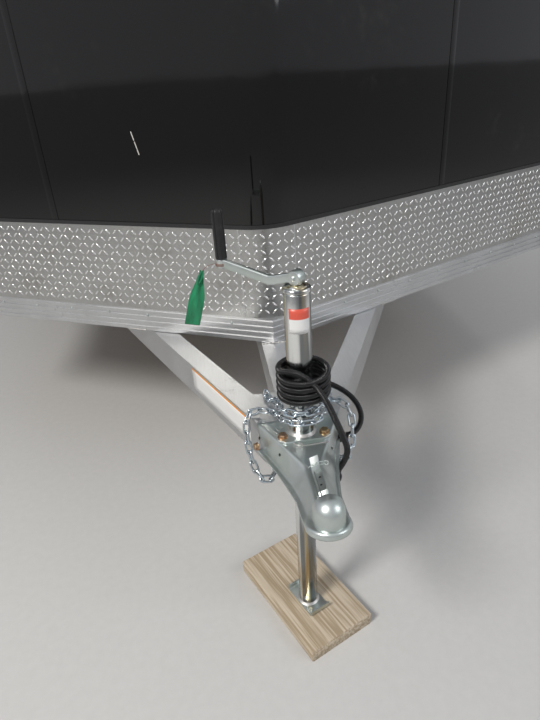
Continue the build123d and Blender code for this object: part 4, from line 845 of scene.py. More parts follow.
# Coupler, in millimetres from the jack's axis. A station is a place behind the axis and the lip's reach there
STATIONS = np.array([(56.0, 105.0), (-60.0, 74.0), (-122.0, 60.0), (-190.0, 48.0), (-262.0, 46.6),
                     (-290.0, 46.3)])
BACK_Y = 56.0
DOME_AHEAD = 286.0
DOME_RADIUS = 31.0
DOME_Z = 640.0
CREASE_RISE = 14.0
LIP_CENTRE_AHEAD = 278.0
LIP_RADIUS = 46.9
LIP_WIDTH = 10.0
LIP_BACK_Z = 542.5
LIP_SLOPE = 0.156
TOP_ROUND = 9.0
FOOT_ROUND = 5.0


def lip_top(y):
    """Height of the lip's upper face, which climbs towards the nose: z at the back + slope * (back - y)."""
    return LIP_BACK_Z + (BACK_Y - y) * LIP_SLOPE


def bridge(start, end, steps, first=1, last=-1):
    """Rows of points between two: start + (end - start) t, for even steps t from 0 to 1, some left out."""
    t = np.linspace(0, 1, steps)[None, first:last, None]
    return start[:, None] + (end - start)[:, None] * t


def corner_curve(before, corner, after, share_before, share_after, steps):
    """A corner rounded by a quadratic between p and q on its two sides: (1 - t)^2 p + 2 t (1 - t) c + t^2 q."""
    start = corner + (before - corner) * share_before
    end = corner + (after - corner) * share_after
    t = np.linspace(0, 1, steps)[None, :, None]
    return (1 - t) ** 2 * start[:, None] + 2 * t * (1 - t) * corner[:, None] + t ** 2 * end[:, None]


def coupler_profiles(y, reach, dome_share):
    """Half sections (distance out, height) from the middle to the lip's edge, for rows of stations.

    The pressed part is a flat top, a rounded edge, a slanting skirt and a turned-out lip. The dome part is a
    quarter circle, an upright wall, a crease and a lip that rounds over. Rows take the first times 1 - share
    and the second times share.
    """
    rows, low = len(y), lip_top(y)
    wide = np.maximum((y + RAIL_APEX) * tan(TONGUE_ANGLE) + 4.4, 17.0)
    places = (0.0, COUPLER_TOP), (wide, COUPLER_TOP), (reach - LIP_WIDTH, low), (reach, low)
    dome_places = (DOME_RADIUS, low + CREASE_RISE), (reach - 1.5, low + CREASE_RISE + 0.5)
    middle, edge, foot, tip, base, shoulder = [
        np.stack([np.broadcast_to(distance, rows), np.broadcast_to(height, rows)], axis=1)
        for distance, height in (*places, *dome_places)]
    skirt = np.linalg.norm(foot - edge, axis=1)[:, None]
    share_top = np.clip(TOP_ROUND / wide, 0, 0.6)[:, None]
    flat = bridge(middle, edge + (middle - edge) * share_top, 7, first=0)
    over = corner_curve(middle, edge, foot, share_top, np.clip(TOP_ROUND / skirt, 0, 0.45), 8)
    under = corner_curve(edge, foot, tip, np.clip(FOOT_ROUND / skirt, 0, 0.4), 0.55, 6)
    side, rim = bridge(over[:, -1], under[:, 0], 10), bridge(under[:, -1], tip, 3, last=None)
    pressed = np.concatenate([flat, over, side, under, rim], axis=1)
    # The dome's wall, crease and ledge have 14 points, and its cap has as many as make both parts equal
    turn = np.linspace(0, pi / 2, pressed.shape[1] - 14)
    cap = np.stack([DOME_RADIUS * np.sin(turn), DOME_Z + DOME_RADIUS * np.cos(turn)], axis=1)
    cap = np.broadcast_to(cap[None], (rows, *cap.shape))
    crease = corner_curve(base, shoulder, tip, 1.0, 0.7, 8)
    wall, ledge = bridge(cap[:, -1], crease[:, 0], 6), bridge(crease[:, -1], tip, 3, last=None)
    domed = np.concatenate([cap, wall, crease, ledge], axis=1)
    share = dome_share[:, None, None]
    return pressed * (1 - share) + domed * share


def make_coupler():
    """Half sections carried down the driver's side, round the dome and back up the curb side.

    Round the dome, at the angle t, the lip ends where a ray from the dome's axis meets the lip's own circle:
    -a sin t + sqrt(R^2 - (a cos t)^2), where a is the distance between the two centres.
    """
    y = np.concatenate([np.linspace(BACK_Y, -225, 30), np.linspace(-232, -DOME_AHEAD, 19)])
    reach = np.interp(-y, -STATIONS[:, 0], STATIONS[:, 1])
    half = coupler_profiles(y, reach, smooth_step(-y, 238, 276))
    side = np.stack([half[..., 0], np.broadcast_to(y[:, None], half.shape[:2]), half[..., 1]], axis=-1)
    turn = np.linspace(0, pi, 41)[1:-1]
    ahead = DOME_AHEAD - LIP_CENTRE_AHEAD
    out = -ahead * np.sin(turn) + np.sqrt(LIP_RADIUS ** 2 - (ahead * np.cos(turn)) ** 2)
    fan = coupler_profiles(-DOME_AHEAD - out * np.sin(turn), out, np.ones(len(turn)))
    x, ahead_y = fan[..., 0] * np.cos(turn)[:, None], fan[..., 0] * np.sin(turn)[:, None]
    nose = np.stack([x, -DOME_AHEAD - ahead_y, fan[..., 1]], axis=-1)
    shell = np.concatenate([side, nose, side[::-1] * (-1, 1, 1)])
    shape = at_jack(shell).reshape(-1, 3), grid_faces(*shell.shape[:2])[:, ::-1]
    piece = make_piece("coupler_pressing", shape, "trailer", "zinc_steel", sharp=34, replaces=["coupler"])
    thicken(piece, "Plate thickness", 0.0042, -1.0)


def make_coupler_fittings():
    """The bolts of the jack's flange and of the coupler's sides, two holes a side, and three welds."""
    yellow = finish_of("yellow_zinc")
    heads = [hexagon_bolt(at_jack((x, -20, COUPLER_TOP + 6)), UP, 0.018, 0.009) for x in (-49, 49)]
    make_piece("jack_bolts", joined(heads), "trailer", "zinc_steel", yellow, sharp=30)
    heads = [hexagon_bolt(at_jack((side * 105.5, 36, 566)), (side * 0.93, -0.30, 0.18), 0.015, 0.009)
             for side in (-1, 1)]
    make_piece("coupler_side_bolts", joined(heads), "trailer", "zinc_steel", yellow, sharp=30)
    # Painted shade: each hole is a thin black disc on the plate, standing in for the shade inside the pressing.
    holes = [turned(capped([(-0.0004, radius), (0.0007, radius)]), at_jack((side * x, y, z)),
                    (side * 0.9, -0.3, 0.25), 20)
             for side in (-1, 1) for x, y, z, radius in ((98.5, 52, 578, 0.0040), (61.5, -44, 595, 0.0034))]
    make_piece("coupler_side_holes_painted_shade", joined(holes), "trailer", "zinc_steel", finish_of("black_plastic"),
               sharp=30)
    beads = [weld((-58 - gap, 20 - gap, 621), (-6 - gap, -56 - gap, 621.2), 0.0016, 14, 0.0)
             for gap in (0, 7)]
    beads.append(weld((-6, -56, 621.2), (52, -52, 621), 0.0015, 12, 0.0))
    make_piece("coupler_weld_lines", joined(beads), "trailer", "zinc_steel", finish_of("weld_finish"),
               sharp=60)


def make_latch():
    """A bent strip with two holes that lies along the nose, its cheeks and pin, and a wire clip through it.

    The clip is (x0 + 36 t, y0 - 7 t sin 2 pi t, z0 + 9 sin pi t). It ends in a loop of 4.5 mm and a leg.
    """
    line = np.array([(-240, 634), (-232, 641), (-215, 640), (-190, 638), (-165, 638), (-150, 645),
                     (-138, 652)])
    outline = np.array([(-243, 619), (-243, 634), (-236, 641), (-170, 640), (-165, 632), (-205, 626),
                        (-229, 619)])
    across, up = unit((0.94, 0, 0.34)), unit((-0.34, 0.15, 0.93))
    path = at_jack(np.column_stack([np.zeros(len(line)), line]))
    strip = band(path, across, up, rounded_section(0.0195, 0.0032, 0.0012, 2))
    cheeks = []
    for side in (-1, 1):
        flat, faces = plate(outline / 1000, side * 0.0046, side * 0.0072)
        cheeks.append((flat[:, [2, 0, 1]] + (0, JACK_Y, 0), faces))
    pin = tube(at_jack(np.linspace((-13, -236, 632), (13, -236, 632), 4)), 0.003, 12)
    make_piece("latch_lever", joined([strip, *cheeks, pin]), "ball_latch", "zinc_steel",
               replaces=["coupler_latch"], sharp=35)
    # Painted shade: the strip's two holes and the pin's slot are black discs and a black block, standing in for
    # the shade inside them.
    hole = capped([(0, 0.0026), (0.0004, 0.0026)])
    holes = [turned(hole, at_jack((0, y, z)) + up * 0.0017 + across * aside, up, 18)
             for aside, y, z in ((0.0005, -214, 639.9), (0.003, -190, 638.0))]
    slot = slab(at_jack((-10.5, -241.2, 627.5)), at_jack((10.5, -239.6, 634.5)))
    make_piece("latch_holes_painted_shade", joined([*holes, slot]), "ball_latch", "black_plastic", sharp=30)
    t = np.linspace(0, 1, 40)
    turn = 2 * pi * t
    clip = np.column_stack([-14 + 36 * t, -161 - 7 * np.sin(turn) * t, 646 + 9 * np.sin(turn / 2)])
    loop = np.column_stack([22 + 4.5 * np.sin(turn), -161 + 4 * t, 650.5 - 4.5 * np.cos(turn)])
    leg = np.linspace((22, -157, 646), (-9, -154, 643), 14)
    wires = [tube(at_jack(wire), 0.0012, 8) for wire in (clip, np.concatenate([loop, leg]))]
    make_piece("latch_clip", joined(wires), "ball_latch", "zinc_steel", sharp=60)


# Jack, as turned profiles of (height, radius)
def make_jack_tube():
    """The outer tube and its rolled cap as one turned profile, the bolted flange, and their weld."""
    roll, quarter = np.linspace(-pi / 2, pi / 2, 9), np.linspace(0, pi / 2, 6)
    cap = np.column_stack([0.9775 + 0.0055 * np.sin(roll), 0.0272 + 0.0033 * np.cos(roll)])
    crown = np.column_stack([0.983 + 0.005 * np.sin(quarter), 0.0215 * np.cos(quarter)])
    wall = [(z, TUBE_RADIUS) for z in np.linspace(0.44, 0.970, 8)]
    bore = [(0.95, 0.0), (0.949, 0.0256), (0.425, 0.0256)]
    outer = [(0.425, 0.0256), (0.425, 0.0279), (0.4266, TUBE_RADIUS), *wall, (0.9713, 0.0281), *cap,
             (0.9834, 0.0248), *crown]
    make_piece("jack_outer_tube", turned([*bore, *outer], JACK_AXIS, around=72), "trailer", "zinc_steel",
               finish_of("bright_tube"), sharp=40, replaces=["jack_tube"])
    right = np.array([(46, -42), (62, -30), (62, -8), (18, 54)], float)
    plan = np.concatenate([right, right[::-1] * (-1, 1)]) / 1000 + JACK_AXIS[:2]
    flange = holed_plate(plan, JACK_AXIS[:2], 0.0272, COUPLER_TOP / 1000, 0.626)
    make_piece("jack_flange", flange, "trailer", "zinc_steel", bevel=0.001)
    fillet = [(0.0, 0.0284), (0.0, 0.0345), (0.0025, 0.031), (0.006, 0.0284)]
    make_piece("jack_flange_weld", turned(fillet, JACK_AXIS + 0.626 * UP, around=64), "trailer",
               "zinc_steel", finish_of("weld_finish"), sharp=70)


def make_jack_leg():
    """The leg as a turned profile, the foot as a strip bent up by two quarter circles, and their weld."""
    leg = [(0.047, 0.0), (0.047, 0.0224), (0.62, 0.0224), (0.62, 0.0254), (0.0465, 0.0254), (0.045, 0.0248),
           (0.045, 0.0)]
    make_piece("jack_inner_leg", turned(leg, JACK_AXIS, around=64), "jack_leg_body", "zinc_steel",
               finish_of("bright_tube"), sharp=40, replaces=["jack_leg"])
    across, along = board_axes()
    bend = np.linspace(0, pi / 2, 7)
    quarter = np.column_stack([0.056 - 0.006 + 0.0045 * np.sin(bend), 0.0425 + 0.0045 * (1 - np.cos(bend))])
    half = np.concatenate([quarter, [(0.0545, 0.058)]])
    line = np.concatenate([half[::-1] * (-1, 1), half])
    path = JACK_AXIS + line[:, :1] * along + line[:, 1:] * UP
    up = -unit(np.cross(unit(np.gradient(path, axis=0)), across))
    foot = band(path, across, up, rounded_section(0.062, 0.004, 0.0012, 2))
    make_piece("jack_foot_channel", foot, "jack_leg_body", "zinc_steel", sharp=40, replaces=["jack_foot"])
    fillet = [(0.0, 0.0252), (0.0, 0.0305), (0.002, 0.028), (0.0055, 0.0252)]
    make_piece("jack_foot_weld", turned(fillet, JACK_AXIS + 0.0448 * UP, around=64), "jack_leg_body",
               "zinc_steel", finish_of("weld_finish"), sharp=70)


def make_jack_label():
    """A patch of a cylinder a little outside the tube: (r cos t, r sin t, z), with its UV from 0 to 1."""
    low, high, radius = 0.887, 0.943, TUBE_RADIUS + 0.00035
    t = np.linspace(radians(-138), radians(-46), 22)[:, None]
    z = np.linspace(low, high, 6)[None, :]
    patch = np.stack(np.broadcast_arrays(radius * np.cos(t), JACK_Y + radius * np.sin(t), z), axis=-1)
    uv = np.stack(np.broadcast_arrays((t - t[0]) / (t[-1] - t[0]), (z - low) / (high - low)), axis=-1)
    label = make_piece("jack_tube_label", (patch.reshape(-1, 3), grid_faces(22, 6)), "trailer",
                       "vent_plastic", finish_of("tube_label"), uv=uv, sharp=60, flip=True)
    thicken(label, "Label thickness", 0.0003, 1.0)


# Crank: the bar's line in millimetres from the jack's axis, and the two parts of the grip's place
CRANK_LINE = np.array([(4, -4, 1003), (-22, 22, 994), (-41, 41, 986), (-49, 49, 984), (-57, 57, 985),
                       (-100, 100, 993), (-132, 132, 999), (-147, 147, 1001)], float)
GRIP_X, GRIP_Y = -143, 145


def grip_flutes(angle):
    """Four flutes round the grip: 1 - 0.20 exp(-(sin 2 (t + 0.35) / 0.24)^2) of its radius."""
    return 1 - 0.20 * np.exp(-(np.sin(2 * (angle + 0.35)) / 0.24) ** 2)


def make_crank():
    """A folded bar from the hub's disc down to an elbow and up to the grip, with the grip's fluted tube."""
    knots = np.arange(len(CRANK_LINE))
    line = line_at(np.linspace(0, knots[-1], 4 * knots[-1] + 1), knots, CRANK_LINE)
    outward = unit((1, 1, 0))
    centre, grip_base = JACK_AXIS + 1.002 * UP, at_jack((GRIP_X, GRIP_Y, 1003))
    bar = band(at_jack(line), outward, UP, rounded_section(0.0115, 0.022, 0.004, 4))
    disc = [(-0.0125, 0.0125), (-0.012, 0.0148), (-0.0105, 0.0158), (0.0105, 0.0158), (0.012, 0.0148),
            (0.0125, 0.0125)]
    pin = [(0.0, 0.0052), (0.0145, 0.0052), (0.0158, 0.0038)]
    neck = [(0.9885, 0.0105), (0.9885, 0.0118), (0.992, 0.0122), (1.0, 0.0095)]
    seat = [(-0.012, 0.0118), (-0.011, 0.0128), (0.006, 0.0128), (0.0068, 0.0118)]
    stem = [(0.006, 0.006), (0.09, 0.006)]
    rounds = [(disc, centre, -outward, 48), (pin, centre, -outward, 24), (pin, centre, outward, 24),
              (neck, JACK_AXIS, UP, 32), (seat, grip_base, UP, 36), (stem, grip_base, UP, 24)]
    parts = [turned(capped(profile), place, axis, around) for profile, place, axis, around in rounds]
    make_piece("crank_bar", joined([bar, *parts]), "crank", "zinc_steel", sharp=38, replaces=["crank_arm"])
    middle = [(height, 0.0130) for height in np.linspace(0.010, 0.108, 10)]
    rows = [(0.0075, 0.0066), (0.0075, 0.0118), (0.0085, 0.0127), *middle, (0.1125, 0.0126), (0.115, 0.0112),
            (0.1153, 0.006)]
    grip = turned(capped(rows), grip_base, around=72, flute=grip_flutes)
    make_piece("crank_hand_grip", grip, "crank", "black_rubber", sharp=50, replaces=["crank_grip"])


# Tape and thread, in millimetres from the jack's axis
TAPE_TOP = np.array([-189.0, 149.0, 985.0])
TAPE_LOW_LEFT, TAPE_LOW_RIGHT = np.array([-245.0, 154.0, 857.0]), np.array([-210.0, 151.0, 850.0])


def make_ribbon():
    """Tape that hangs from a thread: width grows as it falls, with folds across it that fade towards the end.

    place(u, v) = top + v * fall + (u - 1/2) * width(v) * across + fold(u, v), where fold is a sine of u. The
    folded end is top + v * fall + (u - 1/2) * (5 + 12 sin pi v) * across + 2.5 sin pi v sin 2 pi u. The thread
    is a quadratic from the grip to the tape, and three turns round the grip.
    """
    u, v = np.linspace(0, 1, 17)[None, :], np.linspace(0, 1, 40)[:, None]
    middle = TAPE_TOP + (0.5 * (TAPE_LOW_LEFT + TAPE_LOW_RIGHT) - TAPE_TOP) * v[..., None]
    width = 0.26 + 0.74 * smooth_step(v, 0.0, 0.55)
    fold = 3.2 * np.sin(3 * pi * u + 0.6) * (1 - smooth_step(v, 0.0, 0.7)) + 1.8 * np.sin(2.2 * v * pi + u)
    body = middle + ((u - 0.5) * width)[..., None] * (TAPE_LOW_RIGHT - TAPE_LOW_LEFT)
    body = body + fold[..., None] * np.array([0.1, 1.0, 0.25])
    uv = np.stack(np.broadcast_arrays(u * 0.037, (1 - v) * 0.135), axis=-1)
    tape = make_piece("crank_tape", (at_jack(body).reshape(-1, 3), grid_faces(40, 17)), "crank", "ribbon",
                      uv=uv, sharp=80, replaces=["crank_ribbon"], flip=True)
    v = np.linspace(0, 1, 14)[:, None]
    flap = TAPE_TOP - (0, 1, 0) + v[..., None] * np.array([-12.0, -1.0, -30.0])
    flap = flap + ((u - 0.5) * (5 + 12 * np.sin(pi * v)))[..., None] * np.array([1.0, -0.3, 0.45])
    flap = flap + (2.5 * np.sin(pi * v) * np.sin(2 * pi * u))[..., None] * np.array([0, -1.0, 0])
    uv = np.stack(np.broadcast_arrays(u * 0.02, v * 0.03), axis=-1)
    fold_piece = make_piece("crank_tape_fold", (at_jack(flap).reshape(-1, 3), grid_faces(14, 17)), "crank",
                            "ribbon", uv=uv, sharp=80, flip=True)
    for piece in (tape, fold_piece):
        thicken(piece, "Tape thickness", 0.0002, 0.0)
    t = np.linspace(0, 1, 24)[:, None]
    line = np.array([-155, 146, 998]) * (1 - t) ** 2 + t ** 2 * (TAPE_TOP - (0, 0, 1))
    line = line + 2 * t * (1 - t) * np.array([-176, 148, 1000])
    turn = np.linspace(0, 2 * pi * 3, 60)
    wrap = np.column_stack([GRIP_X - 13.4 * np.cos(turn), GRIP_Y - 13.4 * np.sin(turn), 995 + turn * 0.35])
    threads = [tube(at_jack(thread), 0.0006, 8) for thread in (line, wrap)]
    make_piece("crank_tie", joined(threads), "crank", "ribbon", finish_of("thread_finish"), sharp=80)


# Chains
CHAIN_LINES = [
    [(-60, 54, 501), (-63, 38, 487), (-74, 20, 478), (-91, 9, 475), (-109, 24, 482), (-119, 44, 502),
     (-125, 56, 535), (-128, 66, 566), (-127, 76, 597), (-124, 85, 620), (-113, 93, 631), (-97, 95, 632),
     (-80, 88, 633), (-64, 74, 637), (-54, 54, 646), (-50, 28, 656), (-47, -2, 665), (-37, -30, 672),
     (-12, -47, 676), (15, -47, 676), (40, -29, 675), (52, -2, 672), (58, 26, 670), (66, 50, 663),
     (80, 72, 650), (98, 90, 638), (113, 94, 633), (126, 81, 626), (134, 65, 610), (135, 49, 588),
     (131, 36, 564), (126, 24, 543), (117, 14, 522), (108, 14, 507), (98, 26, 500), (88, 42, 501),
     (80, 56, 502)],
    [(-60, 190, 624.3), (-66, 168, 624.3), (-58, 142, 631), (-50, 117, 642), (-48, 92, 654), (-49, 66, 667),
     (-49, 38, 680), (-48, 10, 690), (-44, -18, 696), (-28, -40, 700), (-3, -48, 702), (22, -43, 703),
     (42, -26, 703), (52, 0, 701), (56, 28, 696), (60, 56, 687), (66, 84, 671), (75, 108, 652),
     (90, 126, 636), (104, 142, 629), (101, 166, 629)],
]
CHAIN_PITCH = 0.026
LINK_HALF, LINK_RADIUS = 0.0089, 0.0075
LINK_POINTS, WIRE_POINTS = 28, 9


def make_chains():
    """Round-wire links: a stadium round each pair of joints, each turned a quarter from the one before.

    Joints stand a pitch apart along the chain's line. A stadium is (r cos t + h sign cos t, r sin t) along
    and across the link, and its wire is a circle round that line.
    """
    t = np.linspace(0, 2 * pi, LINK_POINTS, endpoint=False)
    out = np.column_stack([np.cos(t), np.sin(t)])
    straight = LINK_HALF * np.sign(np.where(np.abs(out[:, 0]) > TINY, out[:, 0], 0))
    ring = LINK_RADIUS * out + np.column_stack([straight, 0 * t])
    wire = np.linspace(0, 2 * pi, WIRE_POINTS, endpoint=False)[:, None]
    one = grid_faces(LINK_POINTS, WIRE_POINTS, close_rows=True, close_columns=True)
    for number, line in enumerate(CHAIN_LINES):
        points = at_jack(line)
        lengths = lengths_along(points)
        joints = line_at(np.arange(0.0, lengths[-1], CHAIN_PITCH), lengths, points)
        along = unit(np.diff(joints, axis=0))
        middle = (joints[1:] + joints[:-1]) / 2
        side = unit(np.cross(frames_along(middle)[1], along))
        flat = unit(np.cross(along, side))
        angle = radians(45) + (pi / 2) * (np.arange(len(middle)) % 2)[:, None]
        across = np.cos(angle) * side + np.sin(angle) * flat
        above = np.cross(along, across)[:, None, None]
        along, across = along[:, None], across[:, None]
        centre = middle[:, None] + ring[:, :1] * along + ring[:, 1:] * across
        outward = (out[:, :1] * along + out[:, 1:] * across)[:, :, None]
        links = centre[:, :, None] + looks().chain_wire * (np.cos(wire) * outward + np.sin(wire) * above)
        faces = one[None] + np.arange(len(middle))[:, None, None] * LINK_POINTS * WIRE_POINTS
        make_piece(f"safety_chain_{number + 1}", (links.reshape(-1, 3), faces.reshape(-1, 4)), "trailer",
                   "chain_steel", sharp=80, replaces=["safety_chains"] if number == 0 else ())


# Loom
LOOM_DIAMETER = 0.0148
RING_DEPTH = 0.0014
LOOM_STEP = 0.00057
LOOM_FEED = [
    (109.0, 72.7, 535), (135.6, 64.9, 543.3), (154.7, 64.5, 560.9), (164.3, 70.5, 584.5),
    (162.1, 80.7, 608.6), (150.9, 92.6, 629.4), (133.7, 103.6, 646.2), (112.8, 111, 660.6),
    (90.3, 111.5, 674.3), (68.4, 104.8, 687.6), (47.5, 94.1, 699.8), (27.5, 80.7, 710.7), (8, 65.4, 720.2),
    (-11.3, 48.8, 727.6),
]
LOOM_LEAD = [
    (-29.8, -31.8, 802.2), (-12.9, -44.7, 802.7), (3.5, -54.9, 796.7), (18.6, -62.2, 783.4),
    (31.9, -67, 764), (43.5, -69.8, 741), (54, -71.5, 716.5), (63, -73, 692), (72, -74, 668),
    (81, -73, 643), (89, -68, 618), (94, -59, 594), (95, -47, 570), (94, -34, 547), (90, -23, 524),
    (82, -14, 500),
]


def loom_route():
    """The feed, the coil and the lead. The coil is (6 + r cos t, -8 + r sin t, z), with z rising evenly."""
    turn = radians(133) + radians(1497) * np.linspace(0, 1, 76)
    radius, rise = 54.4, np.linspace(732, 798, 76)
    coil = np.column_stack([6 + radius * np.cos(turn), -8 + radius * np.sin(turn), rise])
    return at_jack(np.concatenate([LOOM_FEED, coil, LOOM_LEAD]))


def spline_points(route, name):
    """Points of a NURBS spline whose control points are the route, read from a curve with no bevel."""
    curve = bpy.data.curves.new(name, "CURVE")
    curve.dimensions = "3D"
    spline = curve.splines.new("NURBS")
    spline.points.add(len(route) - 1)
    spline.points.foreach_set("co", np.column_stack([route, np.ones(len(route))]).ravel())
    spline.order_u = 3
    spline.use_endpoint_u = True
    spline.resolution_u = 16
    holder = bpy.data.objects.new(name, curve)
    line = bpy.data.meshes.new_from_object(holder)
    points = np.zeros(len(line.vertices) * 3)
    line.vertices.foreach_get("co", points)
    bpy.data.objects.remove(holder)
    bpy.data.curves.remove(curve)
    bpy.data.meshes.remove(line)
    return points.reshape(-1, 3)


def evenly(points, step):
    """Points an even step apart along a line, and how far along it they are."""
    lengths = lengths_along(points)
    marks = np.linspace(0, lengths[-1], int(lengths[-1] / step) + 1)
    return line_at(marks, lengths, points), marks


def make_loom():
    """Corrugated tubing: a tube along the cord's spline whose radius is R - d sin^4(pi s / pitch).

    The plug and the relief at its two ends are turned profiles of (along, radius), with five ribs and a key.
    """
    path, marks = evenly(spline_points(loom_route(), "loom_line"), LOOM_STEP)
    path[1:-1] = (path[:-2] + 2 * path[1:-1] + path[2:]) / 4
    radius = LOOM_DIAMETER / 2 - RING_DEPTH * np.sin(pi * marks / looks().loom_ring) ** 4
    loom = make_piece("loom_cord", tube(path, radius, 14), "trailer", "loom_plastic", sharp=80,
                      replaces=["loom_feed", "loom_coil", "loom_lead"])
    end, along = path[-1], unit(path[-1] - path[-36])
    side = unit(np.cross(along, (0.2, 1, 0.1)))
    neck = [(-0.004, 0.0076), (0.0, 0.0092), (0.004, 0.0096), (0.018, 0.0112), (0.020, 0.0150)]
    shell = [(0.018, 0.0172), (0.020, 0.0188), (0.060, 0.0190), (0.0645, 0.0186), (0.0655, 0.0215),
             (0.067, 0.0220), (0.0785, 0.0220), (0.080, 0.0212), (0.080, 0.0172), (0.0795, 0.0170)]
    rib = np.array([(0.026, 0.0190), (0.0268, 0.0196), (0.0292, 0.0196), (0.030, 0.0190)])
    ribs = [turned(capped(rib + (0.006 * number, 0)), end, along, 64) for number in range(5)]
    key_line = np.array([end + along * distance + side * 0.0190 for distance in (0.030, 0.078)])
    key = band(key_line, np.cross(along, side), side, rounded_section(0.008, 0.004, 0.001, 2))
    parts = [turned(capped(neck), end, along, 48), turned(capped(shell), end, along, 64), key, *ribs]
    plug = make_piece("loom_plug_body", joined(parts), "trailer", "black_plastic", sharp=38,
                      replaces=["loom_plug"])
    relief = [(-0.002, 0.0138), (0.003, 0.0140), (0.0045, 0.0126), (0.009, 0.0098), (0.022, 0.0082),
              (0.026, 0.0078)]
    make_piece("loom_relief", turned(capped(relief), path[0], unit(path[24] - path[0]), 48), "trailer",
               "black_rubber", sharp=40, replaces=["loom_grommet"])


# Board and tongue
def make_board():
    """A sawn board: its section carried along it, and drawn in by a few hundredths of itself at both ends."""
    across, along = board_axes()
    profile = rounded_section(0.200, 0.040, 0.0025, 3)
    stations = np.concatenate([[-0.181, -0.1802], np.linspace(-0.178, 0.178, 24), [0.1802, 0.181]])
    shrink = np.interp(np.abs(stations), [0.178, 0.1802, 0.181], [1.0, 0.994, 0.985])[:, None, None]
    a, b = profile[None, :, :1] * shrink, profile[None, :, 1:] * shrink
    rows = at_jack((-8, 41, 20)) + stations[:, None, None] * along + a * across + b * UP
    faces = grid_faces(*rows.shape[:2], close_columns=True).tolist() + end_faces(*rows.shape[:2])
    make_piece("jack_board", (rows.reshape(-1, 3), faces), "jack_leg_body", "pine", sharp=50,
               replaces=["support_board"])


def on_rail(side, y, out, z):
    """Places on a tongue rail's outer face: (side ((y + apex) tan a + out cos a), y - out sin a, z), in mm."""
    x = side * ((y + RAIL_APEX) * tan(TONGUE_ANGLE) + out * cos(TONGUE_ANGLE))
    return np.stack(np.broadcast_arrays(x, y - out * sin(TONGUE_ANGLE), z), axis=-1)


def make_tongue_details():
    """The blank label on the curb side's rail, as a patch of on_rail, and the welds of the tongue.

    The welds stand on both faces of each rail at the coupler's back, and lie on the rails and the beam under
    the nose, whose front face is at y = 480 + |x| / tan(nose angle).
    """
    (front, back), (low, high), weld_z = (94, 400), (536, 608), 617
    y, z = np.linspace(front, back, 12)[:, None], np.linspace(low, high, 5)[None, :]
    uv = np.stack(np.broadcast_arrays(1 - (y - front) / (back - front), (z - low) / (high - low)), axis=-1)
    patch = at_jack(on_rail(-1, y, 0.5, z)).reshape(-1, 3), grid_faces(12, 5)[:, ::-1]
    label = make_piece("rail_label_sheet", patch, "trailer", "vent_plastic", finish_of("rail_label"), uv=uv,
                       sharp=60, flip=True)
    thicken(label, "Label thickness", 0.0003, 0.0)
    beads = [weld(on_rail(side, 52, out, weld_z), on_rail(side, 60, out, 560), 0.0024)
             for side in (-1, 1) for out in (0, -66)]
    x = np.array([410.0, 470.0])
    nose_y = JACK_TO_NOSE * 1000 + x / tan(NOSE_ANGLE) + 3
    for side in (-1, 1):
        start, end = np.column_stack([side * x, nose_y, [weld_z, weld_z]])
        beads.append(weld(start, end, 0.0028))
    beads.append(weld((-38, 485, 616.5), (38, 485, 616.5), 0.0028))
    make_piece("tongue_welds", joined(beads), "trailer", "mill_aluminium", finish_of("weld_finish"), sharp=70)


# Wheels
CROWN_HALF, CROWN_RADIUS = 0.082, 0.2598
GROOVES = np.array([-0.048, -0.016, 0.016, 0.048])
TREAD_DEPTH = 0.0065
SIDEWALL = np.array([(0.0885, 0.2465), (0.0935, 0.2400), (0.0985, 0.2260), (0.1008, 0.2080), (0.1010, 0.1960),
                     (0.0990, 0.1800), (0.0945, 0.1600), (0.0890, 0.1455), (0.0860, 0.1385), (0.0830, 0.1367),
                     (0.070, 0.1367)])
NUT_CIRCLE = 0.0572


def tyre_radius(half_width):
    """The crown's radius at a distance from the middle: R - 0.0075 (x / half width of the crown)^2."""
    return CROWN_RADIUS - 0.0075 * (half_width / CROWN_HALF) ** 2


def make_tyre(name, side):
    """A tyre as radius(x, t): crown, four straight grooves, leaning sipes, and a bulged sidewall."""
    around = 240
    turn = np.linspace(0, 2 * pi, around, endpoint=False)[None, :]
    crown = np.linspace(-CROWN_HALF, CROWN_HALF, 49)[:, None]
    grooves = np.min(np.abs(crown - GROOVES[None, :]), axis=1, keepdims=True)
    sipes = np.abs(((turn / (2 * pi) * 60 + crown * 26 * np.sign(crown)) % 1) - 0.5)
    sipe_depth = 0.75 * smooth_step(sipes, 0.40, 0.46) * (np.abs(crown) > 0.017)
    depth = np.maximum(1 - smooth_step(grooves, 0.0022, 0.0042), sipe_depth)
    radius = tyre_radius(np.abs(crown)) - TREAD_DEPTH * depth
    x = np.concatenate([-SIDEWALL[::-1, 0], crown[:, 0], SIDEWALL[:, 0]])[:, None]
    walls = np.repeat(SIDEWALL[:, 1:], around, axis=1)
    rings = np.concatenate([walls[::-1], radius, walls])
    places = side * TYRE_X + x, AXLE_Y + rings * np.cos(turn), TYRE_RADIUS + rings * np.sin(turn)
    points = np.stack(np.broadcast_arrays(*places), axis=-1)
    shape = points.reshape(-1, 3), grid_faces(len(x), around, close_rows=True, close_columns=True)
    word = "left" if side > 0 else "right"
    make_piece(name, shape, f"wheel_{word}", "tyre_rubber", sharp=40, replaces=[f"tyre_{word}"])


